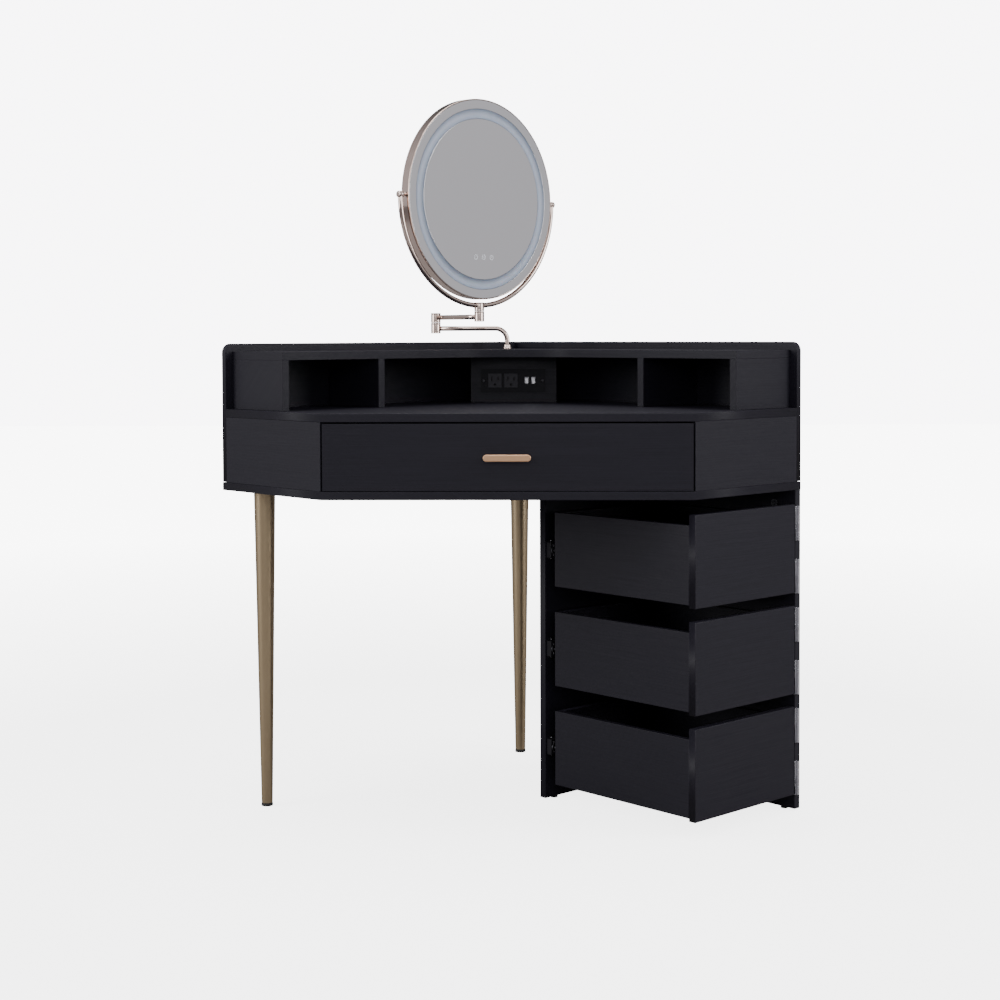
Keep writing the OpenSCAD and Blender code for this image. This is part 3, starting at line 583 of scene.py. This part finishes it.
for node, grain in (("end_panel_left", ALONG_RIGHT), ("end_panel_right", ALONG_LEFT),
                    ("socket_panel", X), ("socket_box_sides", Y), ("drawer_front", X),
                    ("hutch_top", ALONG_RIGHT), ("hutch_ends", ALONG_LEFT),
                    ("hutch_dividers", ALONG_LEFT), ("cabinet_wall_panel", Z)):
    wide = Z if abs(grain[2]) < 0.5 else ALONG_RIGHT
    eased_copy(node, node + "_laminated", BOARD if node == "socket_box_sides" else BLACK,
               EDGE, grain, wide, 3)

# ---- legs, feet and plates ---------------------------------------------------------


def upright(points):
    """Middle in plan, half width and height range of a round upright part."""
    low, high = points.min(0), points.max(0)
    return (low + high)[:2] / 2, (high - low)[0] / 2, low[2], high[2]


def leg(node):
    """A leg: an eased taper from the foot to the plate, turned about its own middle line."""
    points = node_points(node)
    middle, top_r, low, high = upright(points)
    foot_r = upright(points[points[:, 2] < low + MM])[1]
    ease = 0.8 * MM
    rise = np.linspace(low + ease, high - ease, 40)
    taper = np.column_stack([foot_r + (top_r - foot_r) * (rise - low) / (high - low), rise])
    foot = arc((foot_r - ease, low + ease), ease, -90, 0, 4)[:-1]
    head = arc((top_r - ease, high - ease), ease, 0, 90, 4)[1:]
    profile = np.concatenate([[(0, low)], foot, taper, head, [(0, high)]])
    wear = np.concatenate([np.full(len(foot) + 1, 0.8), np.zeros(len(taper) + len(head) + 1)])
    shape = Shape()
    revolve(shape, profile, (*middle, 0), Z, X, 96, wear)
    as_piece(shape, node + "_tapered", BRONZE, "desk", (node,), Z, X)


def pucks(node, groups, edge):
    """Round pads: a cylinder with quarter-round rims, with a shallow ring pressed in its foot."""
    shape = Shape()
    for points in groups:
        middle, radius, low, high = upright(points)
        body = eased(radius, low, high, edge)[:-1]
        foot = [(0.62 * radius, low), (0.56 * radius, low + 0.4 * MM), (0, low + 0.4 * MM)]
        revolve(shape, np.concatenate([body, foot]), (*middle, 0), Z, X, 64)
    as_piece(shape, node + "_moulded", RUBBER, "desk", (node,), X, Y)


leg("leg_left")
leg("leg_rear")
pucks("leg_feet", parted(node_points("leg_feet"), 2, X), 1.4 * MM)
pucks("floor_glides", parted(node_points("floor_glides"), 3, ALONG_LEFT + 0.4 * ALONG_RIGHT), 1.0 * MM)

plates = Shape()
for points in parted(node_points("leg_plates"), 2, X):
    flat = points[points[:, 2] > points[:, 2].max() - 0.5 * MM]
    p, q, z = spans(flat, (ALONG_LEFT, ALONG_RIGHT, Z))
    top = z[1]
    slab(plates, rounded_outline(p, q, 6 * MM), top - 3 * MM, top, (ALONG_LEFT, ALONG_RIGHT), 0.6 * MM)
    middle = ALONG_LEFT * sum(p) / 2 + ALONG_RIGHT * sum(q) / 2
    revolve(plates, eased(4 * MM, points[:, 2].min(), top - 2.5 * MM, 0.5 * MM), middle, Z, X, 32)
    for a in (-1, 1):
        for b in (-1, 1):
            spot = middle + 23 * MM * (a * ALONG_LEFT + b * ALONG_RIGHT) + Z * (top - 3 * MM)
            screw(plates, spot, -Z, X, 3.6 * MM, 0.9 * MM)
as_piece(plates, "leg_plates_pressed", PLASTIC, "desk", ("leg_plates",), ALONG_LEFT, ALONG_RIGHT)

# ---- power module --------------------------------------------------------------------

eased_copy("power_module", "power_module_moulded", PLASTIC, 0.5 * MM, X)
eased_copy("power_outlets", "power_outlets_moulded", OUTLET, 0.35 * MM, X)

heads = Shape()
for points in parted(node_points("socket_screws"), 2, X):
    x, y, z = spans(points, (X, Y, Z))
    middle = X * sum(x) / 2 + Z * sum(z) / 2
    screw(heads, middle + Y * (y[0] + 1.2 * MM), -Y, X, 3 * MM, 1.2 * MM)
    revolve(heads, [(0, y[0] + MM), (1.5 * MM, y[0] + MM), (1.5 * MM, y[1] - MM), (0, y[1])],
            middle, Y, X, 24)
as_piece(heads, "socket_screws_turned", DARK_STEEL, "desk", ("socket_screws",), Y, Z)

ports = Shape()
for points in parted(node_points("usb_ports"), 2, X):
    x, y, z = spans(points, (X, Y, Z))
    middle, half, drop = sum(x) / 2, (x[1] - x[0]) / 2, z[0] + 3 * MM
    foot = np.column_stack([middle + half * np.cos(np.radians(np.linspace(180, 360, 25))),
                            drop + 3 * MM * np.sin(np.radians(np.linspace(180, 360, 25)))])
    outline = np.concatenate([foot, [(x[1], z[1]), (x[0], z[1])]])
    front, back = -y[0], -y[1]
    carried(ports, outline, [(0, back), (0, front - 0.3 * MM), (0.25 * MM, front), (0.6 * MM, front),
                             (0.8 * MM, front - 0.3 * MM), (1.0 * MM, front - 0.9 * MM),
                             (1.5 * MM, front - 1.1 * MM)], (X, Z))
    slab(ports, rectangle((x[0] + 1.7 * MM, x[0] + 3.3 * MM), (drop, z[1] - 2 * MM)),
         front - 1.2 * MM, front - 0.5 * MM, (X, Z), 0.15 * MM)
as_piece(ports, "usb_ports_drawn", STEEL, "desk", ("usb_ports",), Y, Z)

# ---- hinges, catches and slides ----------------------------------------------------------


def hinge_half(shape, low, high, far, off):
    """Half a hinge: a barrel with a seam between its knuckles, and a folded leaf.
    far is the distance of the leaf's outer face from the pin, off its sideways step."""
    pin_p, pin_q = 9.7 * MM - CORNER, 762.8 * MM - CORNER
    radius, leaf = 2.8 * MM, 0.8 * MM
    middle = ALONG_LEFT * pin_p + ALONG_RIGHT * pin_q
    seam = low + (high - low) * 0.5
    body = eased(radius, low, high, 0.4 * MM)
    notch = [(radius, seam + 0.5 * MM), (radius - 0.5 * MM, seam + 0.2 * MM),
             (radius - 0.5 * MM, seam - 0.2 * MM), (radius, seam - 0.5 * MM)]
    profile = np.concatenate([body[:6], notch, body[6:]])
    revolve(shape, profile, middle, Z, X, 40)
    near = pin_q - radius + off
    slab(shape, rectangle((low, high), (pin_p, pin_p + far)), near, near + leaf, (Z, ALONG_LEFT), 0.15 * MM)
    q = (pin_q - 24 * MM, near + leaf)
    slab(shape, rectangle(q, (low, high)), pin_p + far - leaf, pin_p + far, (ALONG_RIGHT, Z), 0.15 * MM)
    return middle, q, pin_p + far


HINGE_H = 64 * MM
HALF_H = HINGE_H / 2 - 0.3 * MM
hinge_lows = []
for level in ("lower", "middle", "upper"):
    low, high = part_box(level + "_swing_front")[0].z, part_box(level + "_swing_front")[1].z
    hinge_lows.append((level, (low - MM, high - HINGE_H - 3 * MM)))

frames = Shape()
for level, lows in hinge_lows:
    for low in lows:
        hinge_half(frames, low, low + HALF_H, 6.1 * MM, 0.0)
as_piece(frames, "hinge_frames_rolled", STEEL, "desk", ("hinge_frames",), Z, X)

for level, lows in hinge_lows:
    node = level + "_swing_fittings"
    halves, strike = Shape(), Shape()
    for low in lows:
        hinge_half(halves, low + HINGE_H / 2, low + HINGE_H / 2 + HALF_H, 7.3 * MM, 0.3 * MM)
    as_piece(halves, node + "_rolled", STEEL, BODY_OF[node], (node,), Z, X)
    points = node_points(node)
    reach = points @ ALONG_RIGHT
    disc = points[reach < reach.min() + 0.5 * MM]
    p, q, z = spans(disc, (ALONG_LEFT, ALONG_RIGHT, Z))
    wall = spans(node_points(level + "_swing_back"), (ALONG_RIGHT,))[0][0]
    middle = ALONG_LEFT * sum(p) / 2 + Z * sum(z) / 2
    profile = [(0, q[0] + 0.5 * MM), (3 * MM, q[0] + 0.5 * MM), (3.4 * MM, q[0]), (6.6 * MM, q[0]),
               (7 * MM, q[0] + 0.4 * MM), (7 * MM, q[0] + 1.6 * MM), (6.6 * MM, q[0] + 2 * MM),
               (2.9 * MM, q[0] + 2.2 * MM), (2.5 * MM, q[0] + 2.8 * MM), (2.5 * MM, wall), (0, wall)]
    revolve(strike, profile, middle, ALONG_RIGHT, Z, 48)
    as_piece(strike, level + "_swing_strike", DARK_STEEL, BODY_OF[node], (), ALONG_RIGHT, Z)

catches = Shape()
magnets = Shape()
for points in parted(node_points("magnetic_catches"), 3, Z):
    p, q, z = spans(points, (ALONG_LEFT, ALONG_RIGHT, Z))
    axes = (Z, ALONG_LEFT)
    body = (z[0] + 4 * MM, z[1] - 4 * MM)
    slab(catches, rounded_outline(body, p, 1.5 * MM), q[0], q[1] - 1.6 * MM, axes, 0.8 * MM)
    slab(catches, rounded_outline(z, (p[0] + 4 * MM, p[1] - 4 * MM), 2 * MM), q[0], q[0] + 3 * MM, axes,
         0.5 * MM)
    for side in (-1, 1):
        near = sum(p) / 2 + side * 3.4 * MM
        slab(magnets, rectangle((z[0] + 8 * MM, z[1] - 8 * MM), (near - MM, near + MM)),
             q[1] - 2 * MM, q[1] - 0.2 * MM, axes, 0.2 * MM)
    for end in (z[0] + 2.2 * MM, z[1] - 2.2 * MM):
        spot = ALONG_LEFT * sum(p) / 2 + ALONG_RIGHT * (q[0] + 3 * MM) + Z * end
        screw(magnets, spot, ALONG_RIGHT, Z, 1.8 * MM, 0.9 * MM)
as_piece(catches, "magnetic_catches_moulded", PLASTIC, "desk", ("magnetic_catches",), Z, ALONG_LEFT)
as_piece(magnets, "magnetic_catch_poles", STEEL, "desk", (), Z, ALONG_LEFT)

for node, material in (("hinge_pins", STEEL), ("runner_channels", STEEL), ("drawer_rails", STEEL),
                       ("cam_locks", DARK_STEEL), ("mirror_base_nut", STEEL),
                       ("drawer_handle_screws", STEEL), ("mirror_electronics", PLASTIC)):
    eased_copy(node, node + "_eased", material, 0.2 * MM, Z, X)

# ---- drawer handle ----------------------------------------------------------------------

x, y, z = spans(node_points("drawer_handle"), (X, Y, Z))
round_r = (z[1] - z[0]) / 2
middle_z = sum(z) / 2
bar = np.concatenate([arc((x[1] - round_r, middle_z), round_r, -90, 90, 20),
                      arc((x[0] + round_r, middle_z), round_r, 90, 270, 20)])
grip = Shape()
slab(grip, bar, -y[0] - 6 * MM, -y[0], (X, Z), 1.6 * MM, 5)
for side in (-1, 1):
    post = [(0, y[0] + 5 * MM), (4 * MM, y[0] + 5 * MM), (3.6 * MM, y[0] + 9 * MM),
            (3.6 * MM, y[1] - 3 * MM), (4 * MM, y[1] - 2 * MM), (4 * MM, y[1]), (0, y[1])]
    revolve(grip, post, X * side * 32 * MM + Z * middle_z, Y, X, 40)
as_piece(grip, "drawer_handle_cast", ROSE, "front_drawer", ("drawer_handle",), X, Z)

# ---- mirror and its arm ---------------------------------------------------------------------

BASE = np.array(JOINTS["arm_base_swivel"]["pos_m"])
ELBOW = np.array(JOINTS["arm_elbow_swivel"]["pos_m"])
HEAD = np.array(JOINTS["arm_head_swivel"]["pos_m"])
CENTRE = np.array(JOINTS["mirror_tilt"]["pos_m"])
WIDE = np.array(JOINTS["mirror_tilt"]["axis"], float)
WIDE /= np.linalg.norm(WIDE)
FACING = np.cross(WIDE, Z)
TUBE_R = 5 * MM
BARREL_R = 10 * MM
RUN_GAP = 0.3 * MM
GLASS_T = 4 * MM


def barrel(shape, place, low, high):
    """A swivel barrel: eased rims and a fine turned groove near each end."""
    edge, step, deep = 0.9 * MM, 3.2 * MM, 0.35 * MM
    body = eased(BARREL_R, low, high, edge)
    half = len(body) // 2
    grooves = []
    for at in (high - step, low + step):
        grooves += [(BARREL_R, at + 0.4 * MM), (BARREL_R - deep, at + 0.15 * MM),
                    (BARREL_R - deep, at - 0.15 * MM), (BARREL_R, at - 0.4 * MM)]
    profile = np.concatenate([body[:half], grooves, body[half:]])
    revolve(shape, profile, (place[0], place[1], 0), Z, X, 72)


def flat_of(point, height):
    return np.array((point[0], point[1], height))


# Base collar: a stepped ring with a bore for the riser
z = spans(node_points("mirror_base_collar"), (Z,))[0]
top, deck = z[1], z[1] - 9 * MM
bore = TUBE_R + 0.06 * MM
collar = Shape()
section = [(bore, deck), (bore, top - 0.4 * MM), (bore + 0.4 * MM, top), (7.0 * MM, top),
           (7.4 * MM, top - 0.4 * MM), (7.4 * MM, top - 4 * MM), (8.0 * MM, top - 5 * MM),
           (9.0 * MM, top - 5.4 * MM), (9.5 * MM, top - 6.2 * MM), (9.5 * MM, deck + 0.5 * MM),
           (9.2 * MM, deck)]
ring(collar, section, flat_of(BASE, 0), Z, X, 96)
revolve(collar, [(0, z[0]), (6 * MM, z[0]), (6 * MM, deck), (0, deck)],
        flat_of(BASE, 0), Z, X, 96)
as_piece(collar, "mirror_base_collar_turned", NICKEL, "desk", ("mirror_base_collar",), Z, X)

# Lower link: riser, bend, tube and the elbow's lower barrel
link_way = flat_of(ELBOW - BASE, 0)
link_way /= np.linalg.norm(link_way)
low, high = spans(node_points("mirror_lower_arm"), (Z,))[0]
lower_z = ELBOW[2] - 12 * MM
bend = 25 * MM
riser_top = lower_z - 40 * MM
turn = np.radians(np.linspace(180, 90, 25))
bent = np.column_stack([bend + bend * np.cos(turn), lower_z - bend + bend * np.sin(turn)])
length = np.linalg.norm((ELBOW - BASE)[:2])
route = np.concatenate([[(0, low), (0, riser_top)], bent, [(0.5 * length, lower_z), (length, lower_z)]])
path = flat_of(BASE, 0) + route[:, :1] * link_way + route[:, 1:] * Z
lower = Shape()
tube(lower, path, np.cross(link_way, Z), TUBE_R, 40)
barrel(lower, ELBOW, ELBOW[2] - 22 * MM, ELBOW[2])
as_piece(lower, "mirror_lower_arm_bent", NICKEL, "mirror_lower_link", ("mirror_lower_arm",), Z, X)

# Upper link: a barrel at each end of a straight tube
upper = Shape()
upper_z = ELBOW[2] + 11 * MM
start, end = flat_of(ELBOW, upper_z), flat_of(HEAD, upper_z)
across = np.cross(end - start, Z)
across /= np.linalg.norm(across)
tube(upper, np.linspace(start, end, 5), across, TUBE_R, 40)
barrel(upper, ELBOW, ELBOW[2] + RUN_GAP, ELBOW[2] + 20.5 * MM)
barrel(upper, HEAD, HEAD[2] - 21.5 * MM, HEAD[2] - RUN_GAP)
as_piece(upper, "mirror_upper_arm_brazed", NICKEL, "mirror_upper_link", ("mirror_upper_arm",), Z, X)

# Yoke: half a ring of tube, a hub barrel and a stepped knob at each end
case_points = node_points("mirror_case") - CENTRE
case_r = (case_points @ WIDE).max()
yoke_r = case_r + 12 * MM
swing = np.radians(np.linspace(180, 360, 121))
half_ring = CENTRE + yoke_r * (np.cos(swing)[:, None] * WIDE + np.sin(swing)[:, None] * Z)
yoke = Shape()
tube(yoke, half_ring, FACING, TUBE_R, 40)
barrel(yoke, HEAD, HEAD[2], CENTRE[2] - yoke_r + TUBE_R + MM)
for side in (-1, 1):
    k = yoke_r
    dome = arc((4.0 * MM, k + 4.0 * MM), 2.5 * MM, 90, 0, 6)
    knob = np.concatenate([[(0, k + 6.5 * MM)], dome,
                           [(6.5 * MM, k + 0.4 * MM), (5.9 * MM, k), (5.9 * MM, k - 0.6 * MM),
                            (6.3 * MM, k - 1.0 * MM), (6.3 * MM, k - 5.0 * MM), (5.6 * MM, k - 6.2 * MM),
                            (4.0 * MM, k - 6.5 * MM), (3.0 * MM, k - 6.6 * MM),
                            (3.0 * MM, case_r + 0.4 * MM), (0, case_r + 0.4 * MM)]])
    revolve(yoke, knob, CENTRE, side * WIDE, Z, 56)
as_piece(yoke, "mirror_yoke_brazed", NICKEL, "mirror_yoke", ("mirror_yoke",), Z, X)

# Case: a rolled rim and a ledge behind the glass
front = (case_points @ FACING).max()
back = -front
rim_t = 2.5 * MM
glass_r = case_r - rim_t
case = Shape()
lip = 1.2 * MM
rim = np.concatenate([arc((case_r - lip, front - lip), lip, 90, 0, 6),
                      arc((case_r - lip, back + lip), lip, 0, -90, 6),
                      [(glass_r + 0.1 * MM, back), (glass_r + 0.1 * MM, front)]])
ring(case, rim, CENTRE, FACING, WIDE, 192)
ring(case, [(glass_r - 8 * MM, front - 4.1 * MM), (glass_r + 0.2 * MM, front - 4.1 * MM),
            (glass_r + 0.2 * MM, front - 6 * MM), (glass_r - 8 * MM, front - 6 * MM)],
     CENTRE, FACING, WIDE, 192)
as_piece(case, "mirror_case_rolled", NICKEL, "mirror", ("mirror_case",), Z, X)

# Back cover: a pressed disc with two shallow steps and six screws
cover = Shape()
ring_r = glass_r - 0.2 * MM
steps = [(0, back + 0.35 * MM), (58 * MM, back + 0.35 * MM), (60 * MM, back), (118 * MM, back),
         (120 * MM, back + 0.4 * MM), (168 * MM, back + 0.4 * MM), (170 * MM, back),
         (ring_r - 0.4 * MM, back), (ring_r, back + 0.3 * MM), (ring_r, back + 0.9 * MM),
         (0, back + 0.9 * MM)]
revolve(cover, steps, CENTRE, FACING, WIDE, 192)
for k in range(6):
    a = math.radians(30 + 60 * k)
    spot = CENTRE + 182 * MM * (math.cos(a) * WIDE + math.sin(a) * Z) + FACING * (back + 0.1 * MM)
    screw(cover, spot, -FACING, WIDE, 3.2 * MM, 0.1 * MM)
as_piece(cover, "mirror_back_cover_pressed", SATIN_NICKEL, "mirror", ("mirror_back_cover",), Z, X)

# Glass: a disc and a ring, each with a ground bevel at its edge
light_out = ((node_points("mirror_light") - CENTRE) @ WIDE).max()
light_in = light_out - 20 * MM
fit = 0.1 * MM
disc_r = light_in - fit
rear = front - GLASS_T
glass = Shape()
revolve(glass, [(0, front), (disc_r - 0.5 * MM, front), (disc_r - 0.15 * MM, front - 0.15 * MM),
                (disc_r, front - 0.4 * MM), (disc_r, rear), (0, rear)], CENTRE, FACING, WIDE, 192)
ring(glass, [(light_out + fit, rear), (light_out + fit, front - 0.4 * MM),
             (light_out + 0.4 * MM, front), (glass_r - 0.5 * MM, front), (glass_r, front - 0.3 * MM),
             (glass_r, rear)], CENTRE, FACING, WIDE, 192)
as_piece(glass, "mirror_glass_ground", MIRROR, "mirror", ("mirror_glass",), Z, X)

# Light: a frosted trough, shallow at its rims, where a darker colour is painted on as shade of its walls
light = Shape()
outer, inner = light_out - fit, light_in + fit
trough_deep = 3.6 * MM
light_rear = front - 10 * MM
sweep = np.linspace(1, -1, 25)
trough_z = front - 0.4 * MM - trough_deep * (1 - sweep ** 2)
trough = np.column_stack([(outer + inner) / 2 + (outer - inner) / 2 * sweep, trough_z])
section = np.concatenate([[(outer, light_rear)], trough, [(inner, light_rear)]])
# painted shade: the mask is 1 at both rims of the trough and 0 at its middle, darkening the colour where
# the walls would be in shade
painted_shade = np.concatenate([[1.0], np.abs(sweep) ** 2, [1.0]])
ring(light, section, CENTRE, FACING, WIDE, 192, painted_shade)
as_piece(light, "mirror_light_frosted", FROST, "mirror", ("mirror_light",), Z, X)

# Touch icons: three generic marks, each a thin ring round a dot or ring, with no, one or two bars
icons = Shape()
icon_low, icon_high = front - 0.05 * MM, front + 0.03 * MM
bar_half = 0.35 * MM
DOT = (0.9, 0.0001)
for place, middle_mark, bars in ((-1, DOT, (-2.2, 2.2)), (0, (2.0, 1.2), ()), (1, DOT, (0.0,))):
    spot = CENTRE + WIDE * (22 * place + 3) * MM - Z * 116 * MM
    for wide_r, narrow_r in ((5.2, 3.9), middle_mark):
        ring(icons, [(narrow_r * MM, icon_low), (narrow_r * MM, icon_high),
                     (wide_r * MM, icon_high), (wide_r * MM, icon_low)], spot, FACING, WIDE, 48)
    face = spot @ FACING
    for step in bars:
        across = spot @ WIDE + step * MM
        bar = rectangle((across - bar_half, across + bar_half),
                        (spot @ Z + 1.4 * MM, spot @ Z + 3.2 * MM))
        slab(icons, bar, face + icon_low, face + icon_high, (WIDE, Z), 0.02 * MM, 1)
as_piece(icons, "mirror_touch_icons", ICON, "mirror", (), Z, X)

# ---- floor, light and camera ----------------------------------------------------------

WHITE = 8.0
FLOOR_GLOW = 3.8


def softbox(name, place, aim, size, power):
    """A soft studio light that looks at a point."""
    lamp = bpy.data.lights.new(name, "AREA")
    lamp.shape = "RECTANGLE"
    lamp.size, lamp.size_y = size
    lamp.energy = power
    holder = bpy.data.objects.new(name, lamp)
    holder.location = place
    look = Vector(aim) - Vector(place)
    holder.rotation_euler = look.to_track_quat("-Z", "Y").to_euler()
    bpy.context.scene.collection.objects.link(holder)


def studio():
    """A white floor that fades into a white surround, and softboxes at both sides, above and in front."""
    size = 14.0
    corner = [(-size, -size, 0), (size, -size, 0), (size, size, 0), (-size, size, 0)]
    mesh = bpy.data.meshes.new("studio_floor")
    mesh.from_pydata(corner, [], [(0, 1, 2, 3)])
    material, n, shader, place = new_material("pale_floor", Roughness=0.8)
    seen = n.add("ShaderNodeLightPath").outputs["Is Camera Ray"]
    speckle = n.between(n.noise(place, 3.0), 0.3, 0.7)
    white = n.mix(speckle, (0.88, 0.88, 0.885, 1), (0.9, 0.9, 0.905, 1))
    link(n, n.mix(seen, (0.30, 0.29, 0.29, 1), white), shader.inputs["Base Color"])
    away = n.add("ShaderNodeVectorMath", {0: place}, operation="LENGTH").outputs["Value"]
    glow = n.between(away, 1.2, 4.5, FLOOR_GLOW, WHITE)
    shader.inputs["Emission Color"].default_value = (1, 1, 1, 1)
    link(n, n.math("MULTIPLY", glow, seen), shader.inputs["Emission Strength"])
    mesh.materials.append(material)
    floor = bpy.data.objects.new("studio_floor", mesh)
    bpy.context.scene.collection.objects.link(floor)

    world = bpy.data.worlds.new("studio")
    bpy.context.scene.world = world
    world.use_nodes = True
    n = Nodes(world.node_tree)
    seen = n.add("ShaderNodeLightPath").outputs["Is Camera Ray"]
    way = n.add("ShaderNodeTexCoord").outputs["Generated"]
    axes = n.add("ShaderNodeSeparateXYZ", {0: way}).outputs
    sky = n.math("MULTIPLY", n.between(axes["Z"], -0.3, 0.7, 0.58, 0.64),
                 n.between(axes["Y"], 0.15, 0.75, 1.0, 0.22))
    fold = n.between(n.noise(n.stretch(way, (9.0, 9.0, 0.4)), 1.0, 1.0), 0.35, 0.65, 0.94, 1.04)
    around = n.math("MULTIPLY", sky, fold)
    strength = n.math("ADD", n.math("MULTIPLY", seen, WHITE),
                      n.math("MULTIPLY", n.math("SUBTRACT", 1.0, seen), around))
    surround = world.node_tree.nodes["Background"]
    surround.inputs["Color"].default_value = (0.985, 0.97, 1.0, 1)
    link(n, strength, surround.inputs["Strength"])
    softbox("left_light", (-3.3, -1.3, 1.8), (-0.1, 0, 0.65), (1.6, 2.4), 75)
    softbox("right_light", (3.3, -1.3, 1.8), (0.1, 0, 0.5), (1.6, 2.4), 75)
    softbox("top_light", (0.0, 0.2, 4.2), (0, 0, 0.6), (2.6, 2.6), 110)
    softbox("front_light", (0.0, -3.4, 1.5), (0, 0.1, 0.8), (2.4, 0.7), 15)


def camera():
    """A camera at eye height of a seated person, a little right of the middle."""
    data = bpy.data.cameras.new("camera")
    data.sensor_width = 36.0
    data.lens = 63.88
    data.shift_y = -0.0969
    data.clip_end = 100.0
    holder = bpy.data.objects.new("camera", data)
    holder.location = (0.0828, -3.4406, 0.886)
    holder.rotation_euler = (math.pi / 2 - 0.0383, 0.0036, 0.0307)
    bpy.context.scene.collection.objects.link(holder)
    bpy.context.scene.camera = holder


studio()
camera()
